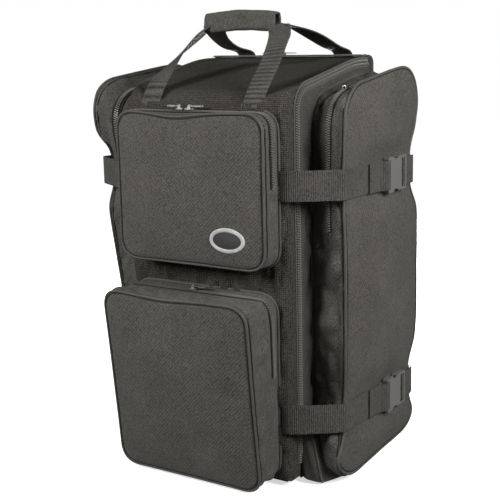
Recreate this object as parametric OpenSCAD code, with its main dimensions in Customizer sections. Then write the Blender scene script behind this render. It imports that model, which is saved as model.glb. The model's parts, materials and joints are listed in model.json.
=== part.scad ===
// Rolling flight crew gear bag: a soft upright bag on two wheels, with a front flap that folds down,
// two front pockets, two side pockets, four compression straps and a telescopic trolley handle.
// Millimetres. X runs to the bag's side, Y to its back, Z up. The floor is Z = 0.

/* [Main bag] */
// Width of the main bag between the side pockets
body_w = 330; // [280:1:400]
// Depth of the main bag from the front panel to the back panel
body_d = 305; // [250:1:370]
// Height of the top at its crown
body_h = 714; // [590:1:860]
// Height of the front panel where it turns back to the top
front_h = 670; // [550:1:700]
// Distance from the front panel to the crown of the top
crown_y = 232; // [180:1:240]
// Height of the base above the floor
base_z = 8; // [5:0.5:14]
// Thickness of the padded walls
wall = 4; // [2.5:0.5:6]
// Radius of the turn from the front panel to the top
front_r = 40; // [20:1:60]
// Radius of the turn from the top to the back panel
rear_r = 12; // [6:1:20]
// Radius of the bottom edges
bottom_r = 22; // [8:1:30]
// Thickness of the stiffening boards
board_t = 3; // [2:0.5:5]

/* [Main zip] */
// Distance of the zip from the front panel, along the sides
zip_y = 34; // [28:1:50]
// Depth of the zip below the top edge, along the sides
zip_drop = 10; // [8:1:16]
// Distance from the zip across the top to the back panel
zip_back = 25; // [22:1:40]
// Radius of the zip's turn from the front to the top
zip_r = 38; // [20:1:50]
// Width of one half of the tape
tape_w = 8; // [6:0.5:9]
// Thickness of the tape and its coils
tape_t = 1.2; // [0.8:0.1:2]
// Gap between the two halves
zip_gap = 0.8; // [0.6:0.1:1.5]

/* [Side pockets] */
// Thickness of a side pocket
side_t = 75; // [55:1:100]
// Distance from the front panel to a side pocket
side_y = 60; // [50:1:90]
// Depth of a side pocket, front to back
side_d = 242; // [190:1:245]
// Height of a side pocket at its front
side_front_h = 654; // [540:1:656]
// Height of a side pocket at its back
side_back_h = 692; // [560:1:696]
// Height of a side pocket's bottom above the floor
side_z = 16; // [6:1:30]
// Radius of a side pocket's corners
side_r = 38; // [15:1:60]
// Thickness of the pocket fabric and its foam
pocket_wall = 3; // [2:0.5:5]
// Distance of the side zip from the main bag
side_zip_x = 43; // [30:1:55]
// Height where the side zip ends on the front gusset
side_zip_end = 443; // [300:1:520]

/* [Front pockets] */
// Width of the upper pocket
up_w = 292; // [220:1:300]
// Height of the upper pocket
up_h = 249; // [200:1:255]
// Depth of the upper pocket
up_d = 44; // [25:1:60]
// Height of the upper pocket's bottom above the floor
up_z = 387; // [370:1:400]
// Width of the lower pocket
low_w = 288; // [230:1:300]
// Height of the lower pocket
low_h = 324; // [240:1:340]
// Depth of the lower pocket
low_d = 96; // [50:1:120]
// Height of the lower pocket's bottom above the floor
low_z = 8; // [6:1:20]
// Radius of the front pockets' corners
pocket_r = 30; // [15:1:45]
// Thickness of the piping
pipe_t = 5; // [3:0.5:7]
// How far the piping stands out
pipe_out = 2.5; // [1.5:0.5:4]
// Width of the pocket zips
pocket_zip_w = 22; // [16:1:26]
// Distance of the lower pocket's zip from the front panel
low_zip_y = 24; // [18:1:60]
// Height where the lower pocket's zip ends on its sides
low_zip_end = 200; // [120:1:240]
// Height where the upper pocket's zip ends on its sides
up_zip_end = 515; // [420:1:580]

/* [Oval patch] */
// Width of the patch
badge_w = 74; // [50:1:90]
// Height of the patch
badge_h = 44; // [30:1:48]
// Thickness of the patch
badge_t = 2; // [1:0.5:3]
// Distance of the patch from the bag's middle
badge_x = 82; // [40:1:90]
// Height of the patch's middle above the floor
badge_z = 429; // [420:1:480]

/* [Compression straps] */
// Width of the strap webbing
strap_w = 50; // [38:1:55]
// Thickness of the webbing
web_t = 1.8; // [1.2:0.1:2.4]
// Height of the upper straps' middle
strap_high = 516; // [460:1:560]
// Height of the lower straps' middle
strap_low = 122; // [80:1:180]
// Distance from the front panel to the buckle's mouth
mouth_y = 236; // [200:1:245]
// Length of a buckle socket
socket_len = 46; // [42:1:56]
// Thickness of a buckle
buckle_t = 10.4; // [9:0.2:12]
// Depth that the prongs reach into the socket
prong_len = 24; // [18:1:25]
// Length of the plug behind the socket
plug_len = 26; // [24:1:30]

/* [Carry handle] */
// Width of the handle webbing
handle_w = 38; // [30:1:45]
// Thickness of the handle webbing
handle_t = 2.4; // [1.6:0.2:3.2]
// Distance of the handle's legs from the bag's middle
handle_x = 105; // [100:1:118]
// Length of the grip
grip_len = 150; // [120:1:164]
// Depth of the grip
grip_d = 24; // [18:1:28]
// Height of the grip
grip_h = 34; // [28:1:38]
// Distance from the front panel to the grip's middle
grip_y = 140; // [110:1:150]
// Height of the grip's middle above the top's crown
grip_rise = 64; // [52:1:90]

/* [Wheels] */
// Diameter of a wheel over its tyre
wheel_d = 80; // [66:1:88]
// Width of a tyre
tyre_w = 24; // [18:1:26]
// Thickness of a tyre
tyre_t = 9; // [6:1:12]
// Distance of a wheel's middle from the bag's middle
wheel_x = 130; // [110:1:136]
// Diameter of an axle
axle_d = 8; // [6:0.5:10]
// Diameter of a foot
foot_d = 38; // [28:1:46]
// Distance of the feet from the bag's middle
foot_x = 110; // [80:1:130]
// Distance of the feet from the front panel
foot_y = 50; // [40:1:80]

/* [Trolley handle] */
// Distance of a tube from the bag's middle
tube_x = 60; // [50:1:62]
// Outer diameter of a fixed tube
outer_d = 17; // [15:0.5:18]
// Outer diameter of a sliding tube
inner_d = 14; // [12:0.5:14.5]
// Wall of a sliding tube
inner_wall = 1.2; // [0.8:0.1:1.6]
// Depth of the trolley behind the back panel
trolley_d = 26; // [24:0.5:30]
// Width of the trolley's bezel and cover
trolley_w = 168; // [150:1:170]
// Height of the bezel's top
bezel_top = 614; // [480:1:620]
// Height of the bezel
bezel_h = 26; // [22:1:40]
// Height of the trolley grip
pull_h = 30; // [26:1:36]
// Height of the foot bracket's bottom
bracket_z = 40; // [30:1:60]
// Height of the foot bracket
bracket_h = 30; // [24:1:40]
// Width of the release button
button_w = 46; // [30:1:60]

/* [Zip sliders] */
// Length of a slider
slider_len = 17; // [14:0.5:20]
// Width of a slider
slider_w = 11; // [9:0.5:12]
// Length of a pull, from its pivot
pull_len = 27; // [20:1:28]
// Diameter of the bail that carries a pull
bail_d = 2; // [1.6:0.1:2.4]

/* [Hidden] */
// Running clearance of a pin in its bore, on the radius
run_gap = 0.05;
// Running clearance of a sliding tube, on the radius
slide_gap = 0.08;
// Clearance between pieces that move past each other
free_gap = 0.4;
// Room that keeps a cut clear of the faces it passes
over = 1;
// Roundness of true circles
$fn = 48;

// Rear limit of the bag, at the tyres
rear_out = 30;
depth_all = low_d + body_d + rear_out;
// Place of the front panel, which centres the whole bag on Y
y_front = low_d - depth_all / 2;
half_w = body_w / 2;
side_face = half_w + side_t;
zip_rear = body_d - zip_back;
grip_z = body_h + grip_rise;
top_slope = (body_h - front_h) / crown_y;
// Radius of the crown, limited by the flat that follows it
crown_r = min(body_w, (zip_rear - crown_y - over) / tan(atan(top_slope) / 2));
side_slope = (side_back_h - side_front_h) / side_d;
side_tilt = atan(side_slope);
up_top = up_z + up_h;
low_top = low_z + low_h;

// Fold cord on the flap's hinge line, its sleeve on the flap and the ears that hold its ends
cord_d = 5;
cord_y = 5.5;
cord_z = base_z + cord_d;
sleeve_t = 2;
ear_w = 7;
ear_reach = 1.5 * cord_d;

// Feet: the chamfer at the floor and the recess of the fastener
foot_edge = 3;
foot_bore = 8;
foot_bore_h = 4;

wheel_y = body_d + rear_out - wheel_d / 2;
wheel_z = wheel_d / 2;
well_gap = 2;
cheek_t = 5;
roof_t = 6;
well_w = tyre_w + 2 * well_gap;
housing_w = well_w + 2 * cheek_t;
housing_front = wheel_y - wheel_d / 2 - well_gap - roof_t;
housing_top = wheel_d + well_gap + roof_t;
housing_rear = body_d + trolley_d;
housing_r = 6;
rim_t = 4;
rim_r = wheel_d / 2 - tyre_t;
web_h = tyre_w / 6;
spoke_count = 5;
window_d = 10;
tread_angle = 60;

// Trolley: how far the tubes stop short of its ends, and the corners of its blocks
tube_y = body_d + trolley_d / 2;
block_r = 6;
tube_bottom = bracket_z + 6;
tube_top = bezel_top - 3;
inner_bottom = tube_bottom + 14;
rib_d = 18;
rib_step = 0.42 * tube_x;
rib_edge = 5;
scoop_r = 8;
cover_t = 2;
// Grip of the trolley, and the button that stands in its top
button_gap = 0.3;
pull_z = bezel_top + button_gap;
pull_mid = pull_z + pull_h / 2;
pull_wall = 4;
pull_r = 10;
groove_d = 17;
groove_step = 22;
groove_in = 2.5;
button_travel = 4;
button_d = 8;
button_r = 3.5;
bar_z = pull_mid + button_travel;
rod_d = 6;
rod_end = 6;

// Buckles: the skin over and under the prongs' chamber, and the clearance of the plug in it
web_gap = 0.4;
plug_gap = 0.6;
skin_t = 2;
socket_w = strap_w + 12;
socket_r = 5;
socket_x = web_gap + web_t + free_gap;
core_t = buckle_t - 2 * skin_t;
waist_r = 15;
waist_in = 5;
slot_w = 5.4;
slot_in = 6;
slot_r = 2;
prong_w = 6;
prong_out = strap_w / 2 - 2;
hook_r = 6;
guide_w = 5;
ladder_w = 4.6;
ladder_r = 1.5;
ladder_at = [9, 18];
// Webbing: extra thickness in a fold, and the end folded back from the socket: where its turn ends, where
// it lies down again and where it stops
fold_more = 0.2;
fold_turn = 10;
fold_down = 26;
fold_end = 42;

// Carry handle: where the front legs leave the panel and reach the grip, and the bar inside the wrap
leg_base = front_h - 6;
leg_top = grip_len / 2 - 4;
leg_sink = 4;
grip_wall = 5;
wrap_gap = 0.2;
bar_w = grip_h - 2 * grip_wall;
bar_y = grip_y + grip_d / 2 + handle_t;
bar_end = 4;
// Rear legs: sewn to the back panel, over the rear edge and up to the grip
sewn_h = 60;
hook_z = body_h + tape_t + handle_t + 4;
hook_drop = 6;
hook_in = 8;
hook_rise = 4;
rear_rise = 18;
// Radius of the patch's long sides, which meet at its ends
badge_r = badge_w * badge_w / 4 / badge_h + badge_h / 4;
// Zip sliders: plate, posts and bail, and the pull's ring and tab
slider_lift = tape_t + button_gap;
bail_lift = 5.6;
plate_t = 2.2;
plate_r = 2;
coil_cut = 0.8;
post_t = 1.6;
post_len = 6;
post_r = 2.2;
post_gap = 0.3;
sink = 0.2;
ring_t = 1.5;
pull_w = 6.4;
pull_t = 2;
neck_end = 8;
neck_start = 6;
tab_start = 10;
tab_r = 3;
eye_w = 6;
eye_h = 3;
eye_r = 1.4;
// Steepness of the flap's edge as it leaves the main sliders
flap_rise = 1.05 * (zip_rear - cord_y) / (body_h - cord_z);
// Places of the sliders on their zips
upper_slider_x = -15;
upper_slider_gap = 10;
lower_slider_x = -8;
side_slider_y = 62;
main_slider_x = -18;
main_slider_gap = 10;

fabric = [0.30, 0.29, 0.28];
fabric_dark = [0.17, 0.16, 0.16];
webbing = [0.22, 0.21, 0.20];
plastic = [0.42, 0.40, 0.39];
black_plastic = [0.12, 0.12, 0.12];
metal = [0.75, 0.75, 0.74];
rubber = [0.08, 0.08, 0.08];

// Plane geometry
function unit(v) = v / norm(v);
function turn(a) = a > 180 ? a - 360 : a < -180 ? a + 360 : a;
function arc_points(c, r, a, sweep, n) =
    [for (k = [0 : n]) c + r * [cos(a + sweep * k / n), sin(a + sweep * k / n)]];
// Points of the round at corner b between its neighbours a and c
function corner(a, b, c, r, n) =
    let (u = unit(a - b), v = unit(c - b), half = acos(u * v) / 2)
    let (middle = b + unit(u + v) * r / sin(half))
    let (p = b + u * r / tan(half) - middle, q = b + v * r / tan(half) - middle)
    let (start = atan2(p[1], p[0]), sweep = turn(atan2(q[1], q[0]) - start))
    arc_points(middle, r, start, sweep, n);
// Outline through the points p, each corner rounded with its own radius, or sharp where that is 0
function rounded(p, r, n = 6) =
    let (m = len(p))
    [for (k = [0 : m - 1])
        each (r[k] > 0 ? corner(p[(k + m - 1) % m], p[k], p[(k + 1) % m], r[k], n) : [p[k]])];

// Side view of the main bag, drawn in by i
function body_outline(i) = rounded(
    [[i, base_z + i], [i, front_h - i], [crown_y, body_h - i], [body_d - i, body_h - i],
        [body_d - i, base_z + i]],
    [bottom_r - i, front_r - i, crown_r, rear_r - i, bottom_r - i]);

// Side view of the part of the bag that stays when the flap opens, drawn in by i along the zip
function shell_side(i) = rounded(
    [[zip_y + i, -body_h], [zip_y + i, front_h + top_slope * zip_y - zip_drop - i],
        [crown_y, body_h - zip_drop - i], [zip_rear + i, body_h - zip_drop - i],
        [zip_rear + i, 2 * body_h], [2 * body_d, 2 * body_h], [2 * body_d, -body_h]],
    [0, zip_r - i, crown_r, 0, 0, 0, 0]);

// Side view of a side pocket, drawn in by i
function side_outline(i) = rounded(
    [[side_y + i, side_z + i], [side_y + i, side_front_h - i], [side_y + side_d - i, side_back_h - i],
        [side_y + side_d - i, side_z + i]],
    [for (k = [0 : 3]) side_r - i]);

// Front view of a pocket of the given size, drawn in by i
function pocket_outline(w, h, z, i) = rounded(
    [[-w / 2 + i, z + i], [-w / 2 + i, z + h - i], [w / 2 - i, z + h - i], [w / 2 - i, z + i]],
    [for (k = [0 : 3]) pocket_r - i]);

module placed() translate([0, y_front, 0]) children();
module both() for (side = [0, 1]) mirror([side, 0, 0]) children();
// A side view, extruded along X from x by w
module across(x, w) translate([x, 0, 0]) rotate([90, 0, 90]) linear_extrude(w) children();
// A front view, extruded along Y from the front face at y by d
module along(y, d) translate([0, y + d, 0]) rotate([90, 0, 0]) linear_extrude(d) children();
// A plan view of a folded band through the points p
module band(p, t) {
    for (k = [0 : len(p) - 2]) {
        step = p[k + 1] - p[k];
        translate(p[k]) rotate(atan2(step[1], step[0])) translate([0, -t / 2]) square([norm(step), t]);
    }
    for (k = [1 : len(p) - 2]) translate(p[k]) circle(d = t + fold_more);
}
module round_box(size, r) linear_extrude(size[2]) round_plate([size[0], size[1]], r);
// A rounded rectangle about the origin
module round_plate(size, r) {
    square([size[0] - 2 * r, size[1]], center = true);
    square([size[0], size[1] - 2 * r], center = true);
    for (x = [-1, 1], y = [-1, 1])
        translate([x * (size[0] / 2 - r), y * (size[1] / 2 - r)]) circle(r);
}

// Main bag
module bag_walls() difference() {
    across(-half_w, body_w) polygon(body_outline(0));
    across(-half_w + wall, body_w - 2 * wall) polygon(body_outline(wall));
}
module wheel_notch() both() translate([wheel_x - housing_w / 2, housing_front, -over])
    cube([housing_w, body_d, housing_top + over]);
module cord_line(d, w) translate([-w / 2, cord_y, cord_z]) rotate([0, 90, 0]) cylinder(d = d, h = w);

module main_shell() color(fabric) placed() difference() {
    union() {
        intersection() {
            bag_walls();
            across(-half_w, body_w) polygon(shell_side(zip_gap / 2));
        }
        // Floor of the bag, from the fold to the sides
        translate([-half_w + wall, cord_y + cord_d, base_z])
            cube([body_w - 2 * wall, zip_y, wall]);
        both() translate([half_w - ear_w, 0, base_z]) cube([ear_w, zip_y + wall, wall]);
        both() translate([half_w - ear_w, 0, base_z])
            cube([ear_w, cord_y + cord_d, cord_z - base_z + cord_d]);
    }
    wheel_notch();
    cord_line(cord_d, body_w - 2);
}
module back_board() color(black_plastic) placed()
    translate([-half_w + wall + over, body_d - wall - board_t, housing_top + over])
        cube([body_w - 2 * wall - 2 * over, board_t, body_h - housing_top - zip_drop - wall - 2 * over]);
module base_board() color(black_plastic) placed()
    translate([-half_w + wall + over, zip_y + over, base_z + wall])
        cube([body_w - 2 * wall - 2 * over, housing_front - zip_y - 2 * over, board_t]);
module fold_cord() color(fabric_dark) placed() cord_line(cord_d, body_w - 2);
module front_feet() color(rubber) placed() both() translate([foot_x, foot_y, 0]) difference() {
    rotate_extrude() polygon([[0, 0], [foot_d / 2 - foot_edge, 0], [foot_d / 2, foot_edge],
        [foot_d / 2, base_z], [0, base_z]]);
    translate([0, 0, -over]) cylinder(d = foot_bore, h = foot_bore_h + over);
}

// Wheels
module wheel_at(side) translate([side * wheel_x, wheel_y, wheel_z]) rotate([0, 90, 0]) children();
module wheel_housing(side) color(black_plastic) placed() difference() {
    translate([side * wheel_x - housing_w / 2, 0, 0]) across(0, housing_w) difference() {
        polygon(rounded(
            [[housing_front, base_z], [housing_front, housing_top], [housing_rear, housing_top],
                [housing_rear, wheel_z - axle_d], [housing_rear - wheel_d / 4, base_z]],
            [housing_r, wheel_d / 3, housing_r, housing_r, housing_r]));
        // Lightening slot above the wheel arch
        translate([wheel_y + wheel_d / 4, housing_top - roof_t / 2]) square([wheel_d / 5, roof_t / 4]);
    }
    wheel_at(side) translate([0, 0, -well_w / 2]) cylinder(d = wheel_d + 2 * well_gap, h = well_w);
    translate([side * wheel_x - well_w / 2, wheel_y, -over]) cube([well_w, wheel_d, wheel_d + over]);
    translate([side * wheel_x - well_w / 2, wheel_y - wheel_d / 2 - well_gap, -over])
        cube([well_w, wheel_d, wheel_z + over]);
    wheel_at(side) translate([0, 0, -housing_w]) cylinder(d = axle_d, h = 2 * housing_w);
}
module wheel_housing_left() wheel_housing(-1);
module wheel_housing_right() wheel_housing(1);
module wheel_axles() color(metal) placed() for (side = [-1, 1]) wheel_at(side) {
    translate([0, 0, -housing_w / 2]) cylinder(d = axle_d, h = housing_w);
}
module hub(side) color(plastic) placed() wheel_at(side) difference() {
    rotate_extrude() polygon([
        [axle_d / 2 + run_gap, -tyre_w / 2 - over], [axle_d, -tyre_w / 2 - over], [axle_d, -web_h],
        [rim_r - rim_t, -web_h], [rim_r - rim_t, -tyre_w / 2], [rim_r, -tyre_w / 2], [rim_r, tyre_w / 2],
        [rim_r - rim_t, tyre_w / 2], [rim_r - rim_t, web_h], [axle_d, web_h],
        [axle_d, tyre_w / 2 + over], [axle_d / 2 + run_gap, tyre_w / 2 + over]]);
    // Windows between the spokes
    for (k = [1 : spoke_count]) rotate(360 / spoke_count * k)
        translate([(axle_d + rim_r - rim_t) / 2, 0, -tyre_w]) cylinder(d = window_d, h = 2 * tyre_w);
}
module hub_left() hub(-1);
module hub_right() hub(1);
module tyre(side) color(rubber) placed() wheel_at(side) rotate_extrude() polygon([
    [rim_r, -tyre_w / 2],
    each arc_points([wheel_d / 2 - tyre_w / 2, 0], tyre_w / 2, -tread_angle, 2 * tread_angle, 8),
    [rim_r, tyre_w / 2]]);
module tyre_left() tyre(-1);
module tyre_right() tyre(1);

// Side pockets
module side_pocket(side) color(fabric) placed() mirror([side < 0 ? 1 : 0, 0, 0]) difference() {
    across(half_w, side_t) polygon(side_outline(0));
    across(half_w - over, side_t - pocket_wall + over) polygon(side_outline(pocket_wall));
}
module side_pocket_left() side_pocket(-1);
module side_pocket_right() side_pocket(1);
module side_piping() color(fabric_dark) placed() both() across(side_face - pipe_t, pipe_t) difference() {
    polygon(side_outline(-pipe_out));
    polygon(side_outline(0));
}
module side_zips() color(fabric_dark) placed() both() intersection() {
    across(half_w + side_zip_x - pocket_zip_w / 2, pocket_zip_w) difference() {
        polygon(side_outline(-tape_t));
        polygon(side_outline(0));
    }
    translate([0, 0, side_zip_end]) cube([2 * half_w, side_y + side_d - side_r, body_h]);
}

// Main zip
module zip_side(a, b) both() across(half_w, tape_t) intersection() {
    polygon(body_outline(0));
    difference() {
        polygon(shell_side(a));
        polygon(shell_side(b));
    }
    translate([0, base_z + bottom_r]) square([body_d, body_h]);
}
module zip_top(y, w) across(-half_w, body_w) intersection() {
    difference() {
        polygon(body_outline(-tape_t));
        polygon(body_outline(0));
    }
    translate([y, body_h - rear_r]) square([w, 2 * rear_r]);
}
module body_zip() color(fabric_dark) placed() {
    zip_side(zip_gap / 2, tape_w);
    zip_top(zip_rear + zip_gap / 2, tape_w);
}
module flap_zip() color(fabric_dark) placed() {
    zip_side(-tape_w, -zip_gap / 2);
    zip_top(zip_rear - zip_gap / 2 - tape_w, tape_w);
}

// Front flap
module flap_panel() color(fabric) placed() difference() {
    union() {
        difference() {
            intersection() {
                bag_walls();
                translate([-body_w, -body_d, cord_z]) cube([2 * body_w, 3 * body_d, 2 * body_h]);
            }
            across(-body_w, 2 * body_w) polygon(shell_side(-zip_gap / 2));
            // Room for the ears that hold the fold cord
            both() translate([half_w - ear_w - free_gap, -over, 0])
                cube([ear_w + wall, zip_y + wall, cord_z + ear_reach + free_gap]);
            translate([-half_w, cord_y, 0]) cube([body_w, zip_y, cord_z + cord_d]);
        }
        cord_line(cord_d + 2 * sleeve_t, body_w - 2 * ear_w - 2 * free_gap);
        translate([-half_w + ear_w + free_gap, 0, cord_z])
            cube([body_w - 2 * ear_w - 2 * free_gap, wall, bottom_r]);
    }
    cord_line(cord_d + 2 * run_gap, body_w);
}

// Front pockets
module pocket(w, h, z, d) difference() {
    along(-d, d) polygon(pocket_outline(w, h, z, 0));
    along(-d + pocket_wall, d) polygon(pocket_outline(w, h, z, pocket_wall));
}
module pocket_ring(w, h, z, y, d, out) along(y, d) difference() {
    polygon(pocket_outline(w, h, z, -out));
    polygon(pocket_outline(w, h, z, 0));
}
module upper_pocket() color(fabric) placed() pocket(up_w, up_h, up_z, up_d);
module upper_piping() color(fabric_dark) placed() pocket_ring(up_w, up_h, up_z, -up_d, pipe_t, pipe_out);
module upper_zip() color(fabric_dark) placed() intersection() {
    pocket_ring(up_w, up_h, up_z, -up_d / 2 - pocket_zip_w / 2, pocket_zip_w, tape_t);
    translate([-up_w, -up_d, up_zip_end]) cube([2 * up_w, up_d, up_h]);
}
module lower_pocket() color(fabric) placed() pocket(low_w, low_h, low_z, low_d);
module lower_piping() color(fabric_dark) placed() pocket_ring(low_w, low_h, low_z, -low_d, pipe_t, pipe_out);
module lower_zip() color(fabric_dark) placed() intersection() {
    pocket_ring(low_w, low_h, low_z, -low_zip_y - pocket_zip_w / 2, pocket_zip_w, tape_t);
    translate([-low_w, -low_d, low_zip_end]) cube([2 * low_w, low_d, low_h]);
}
// Oval of two tight ends and two wide sides
module badge() color(plastic) placed()
    along(-up_d - badge_t, badge_t) translate([badge_x, badge_z]) intersection() {
        translate([0, badge_h / 2 - badge_r]) circle(badge_r);
        translate([0, badge_r - badge_h / 2]) circle(badge_r);
    }

// Compression straps and buckles, drawn on the right-hand side
module strap_places() for (z = [strap_high, strap_low]) translate([0, 0, z]) both() children();
// Plan view of a front strap: sewn to the front panel, round the side pocket, through the socket and back
function front_strap_path() =
    let (inner = side_face + web_gap + web_t / 2, outer = side_face + socket_x + buckle_t + web_t)
    let (slot = mouth_y - socket_len + slot_in, back = inner + 2 * web_t)
    [[max(up_w, low_w) / 2 + over, -web_t / 2], [half_w + web_t, -web_t / 2],
        [inner, side_y - pipe_out - web_t], [inner, slot], [outer, slot], [outer, slot - fold_turn],
        [back, slot - fold_down], [back, slot - fold_end]];
module straps_front() color(webbing) placed() strap_places() translate([0, 0, -strap_w / 2])
    linear_extrude(strap_w) band(front_strap_path(), web_t);
// Plan view of a rear strap, from under the plug round the pocket's rear edge
module straps_rear() color(webbing) placed() strap_places() translate([0, 0, -strap_w / 2])
    linear_extrude(strap_w) band([[side_face + web_t / 2, mouth_y + over],
        [side_face + web_t / 2, side_y + side_d + pipe_out + web_t],
        [side_face - side_t / 3, side_y + side_d + pipe_out + web_t]], web_t);

// Plan of a socket, waisted where the fingers press the prongs
module socket_plan() difference() {
    translate([-socket_len / 2, 0]) round_plate([socket_len, socket_w], socket_r);
    for (v = [-1, 1]) translate([-socket_len / 3, v * (socket_w / 2 + waist_r - waist_in)]) circle(waist_r);
    translate([-socket_len + slot_in, 0]) round_plate([slot_w, strap_w + slot_r], slot_r);
}
// A buckle part seen from the side, extruded outwards from x by t, with Y along the strap
module outward(x, t) translate([side_face + x, mouth_y, 0]) rotate([0, 90, 0]) rotate(90)
    linear_extrude(t) children();
module buckle_sockets() color(plastic) placed() strap_places() difference() {
    outward(socket_x, buckle_t) socket_plan();
    outward(socket_x + skin_t, core_t) translate([-prong_len - skin_t, -prong_out - plug_gap])
        square([prong_len + skin_t + over, 2 * prong_out + 2 * plug_gap]);
    // Side windows that the prongs' hooks show through, the lower one open to the mouth
    outward(socket_x + skin_t, core_t) translate([-prong_len - skin_t, 0])
        square([prong_len - hook_r, socket_w]);
    outward(socket_x + skin_t, core_t) translate([-prong_len - skin_t, -socket_w])
        square([prong_len + skin_t + over, socket_w]);
}
module plug() {
    // Ladder end, with a slot either side of its bar
    outward(web_t + web_gap, buckle_t - web_gap) difference() {
        translate([(plug_gap + plug_len) / 2, 0])
            round_plate([plug_len - plug_gap, socket_w - skin_t], socket_r - over);
        for (u = ladder_at) translate([plug_gap + u, 0]) round_plate([ladder_w, strap_w + slot_r], ladder_r);
    }
    outward(socket_x + skin_t + plug_gap, core_t - 2 * plug_gap) {
        for (v = [-1, 1]) {
            translate([-prong_len, v * (prong_out - prong_w / 2 - skin_t) - prong_w / 2])
                square([prong_len + skin_t, prong_w]);
            // Hook at the prong's tip
            translate([-prong_len + hook_r, v * (prong_out - hook_r)]) circle(hook_r);
        }
        // Guide between the prongs
        translate([-prong_len + guide_w, -guide_w / 2]) square([prong_len, guide_w]);
    }
}
module plug_at(side, z) color(plastic) placed() mirror([side < 0 ? 1 : 0, 0, 0])
    translate([0, 0, z]) plug();
module plug_left_high() plug_at(-1, strap_high);
module plug_left_low() plug_at(-1, strap_low);
module plug_right_high() plug_at(1, strap_high);
module plug_right_low() plug_at(1, strap_low);

// Carry handle
// A straight stretch of webbing from a to b, turned about its length by spin
module stretch(a, b, w, t, spin) {
    v = b - a;
    translate(a) rotate([0, acos(v[2] / norm(v)), atan2(v[1], v[0])]) rotate(spin)
        translate([-w / 2, -t / 2, 0]) cube([w, t, norm(v)]);
}
module front_leg(w, t) both()
    stretch([handle_x, -handle_t / 2, leg_base - over], [leg_top, grip_y, grip_z - leg_sink], w, t, 90);
module front_handle_web() color(webbing) placed() {
    both() translate([handle_x - handle_w / 2, -handle_t, up_top + over])
        cube([handle_w, handle_t, leg_base - up_top - over]);
    front_leg(handle_w, handle_t);
    translate([-grip_len / 2, grip_y - handle_t, grip_z - bar_w / 2])
        cube([grip_len, 2 * handle_t, bar_w]);
}
module handle_grip() color(fabric) placed() difference() {
    across(-grip_len / 2, grip_len) translate([grip_y, grip_z])
        round_plate([grip_d, grip_h], grip_d / 2 - over);
    across(-grip_len, 2 * grip_len) translate([grip_y, grip_z])
        square([2 * handle_t + 2 * wrap_gap, bar_w + 2 * wrap_gap], center = true);
    // Room for the webbing where it leaves the wrap
    front_leg(handle_w + over, handle_t + over);
}
module rear_handle_web() color(webbing) placed() {
    both() across(handle_x - handle_w / 2, handle_w) band([[body_d + handle_t / 2, body_h - sewn_h],
        [body_d + handle_t / 2, hook_z - hook_drop], [body_d - hook_in, hook_z + hook_rise],
        [crown_y, grip_z - rear_rise]], handle_t);
    both() stretch([handle_x, crown_y + over, grip_z - rear_rise - over / 2], [grip_len / 2, bar_y, grip_z],
        handle_w, handle_t, 90);
    translate([-grip_len / 2 - bar_end, bar_y, grip_z - bar_w / 2])
        cube([grip_len + 2 * bar_end, handle_t, bar_w]);
}

// Trolley handle
module tubes(z, h, d, bore) for (side = [-1, 1]) translate([side * tube_x, tube_y, z]) difference() {
    cylinder(d = d, h = h);
    translate([0, 0, -over]) cylinder(d = bore, h = h + 2 * over);
}
module tube_holes(z, h, d) for (side = [-1, 1]) translate([side * tube_x, tube_y, z]) cylinder(d = d, h = h);
module trolley_outer_tubes() color(metal) placed()
    tubes(tube_bottom, tube_top - tube_bottom, outer_d, inner_d + 2 * slide_gap);
module trolley_block(z, h, w) translate([0, tube_y, z]) round_box([w, trolley_d, h], block_r);
module trolley_bracket() color(black_plastic) placed() difference() {
    trolley_block(bracket_z, bracket_h, trolley_w);
    tube_holes(tube_bottom, bracket_h, outer_d);
    // Ribs between deep pockets, open to the back
    for (x = [-1, 0, 1]) translate([x * rib_step - rib_d / 2, tube_y - trolley_d / 4, bracket_z + rib_edge])
        cube([rib_d, trolley_d, bracket_h - 2 * rib_edge]);
}
module trolley_bezel() color(black_plastic) placed() difference() {
    trolley_block(bezel_top - bezel_h, bezel_h, trolley_w);
    tube_holes(bezel_top - bezel_h - over, tube_top - bezel_top + bezel_h + over, outer_d);
    tube_holes(bezel_top - bezel_h, 2 * bezel_h, inner_d + 2 * slide_gap);
    // Finger scoop under the grip, open to the back
    translate([0, tube_y + trolley_d, bezel_top]) rotate([90, 0, 0])
        linear_extrude(1.3 * trolley_d) round_plate([2 * (tube_x - outer_d), 1.5 * bezel_h], scoop_r);
}
module trolley_cover() color(fabric_dark) placed() difference() {
    trolley_block(bracket_z + bracket_h, bezel_top - bezel_h - bracket_z - bracket_h, trolley_w);
    translate([0, tube_y - cover_t, bracket_z + bracket_h - over])
        round_box([trolley_w - 2 * cover_t, trolley_d, bezel_top], block_r);
}
module trolley_inner_tubes() color(metal) placed()
    tubes(inner_bottom, pull_mid - inner_bottom, inner_d, inner_d - 2 * inner_wall);
// Side view of the grip: flat below, rounded above
module grip_profile() intersection() {
    translate([tube_y, pull_mid - pull_r / 2])
        round_plate([trolley_d - 2 * over, pull_h + pull_r], pull_r);
    translate([body_d, pull_z]) square([trolley_d, pull_h]);
}
module trolley_grip() color(black_plastic) placed() difference() {
    across(-trolley_w / 2 + over, trolley_w - 2 * over) grip_profile();
    tube_holes(pull_z - over, pull_h / 2 + over, inner_d);
    // Chamber for the button's crossbar, and the slot that the button stands in
    translate([-tube_x - rod_d, tube_y - button_d / 2 - over, pull_mid - over])
        cube([2 * tube_x + 2 * rod_d, button_d + 2 * over, pull_h / 2 - pull_wall + over]);
    translate([-button_w / 2 - button_gap, tube_y - button_d / 2 - button_gap, pull_mid])
        cube([button_w + 2 * button_gap, button_d + 2 * button_gap, pull_h]);
    // Finger grooves along the back
    for (x = [-1.5 : 1 : 1.5])
        translate([x * groove_step, tube_y + trolley_d / 2 + groove_d / 2 - groove_in, pull_z - over])
            cylinder(d = groove_d, h = pull_h);
}
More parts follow.
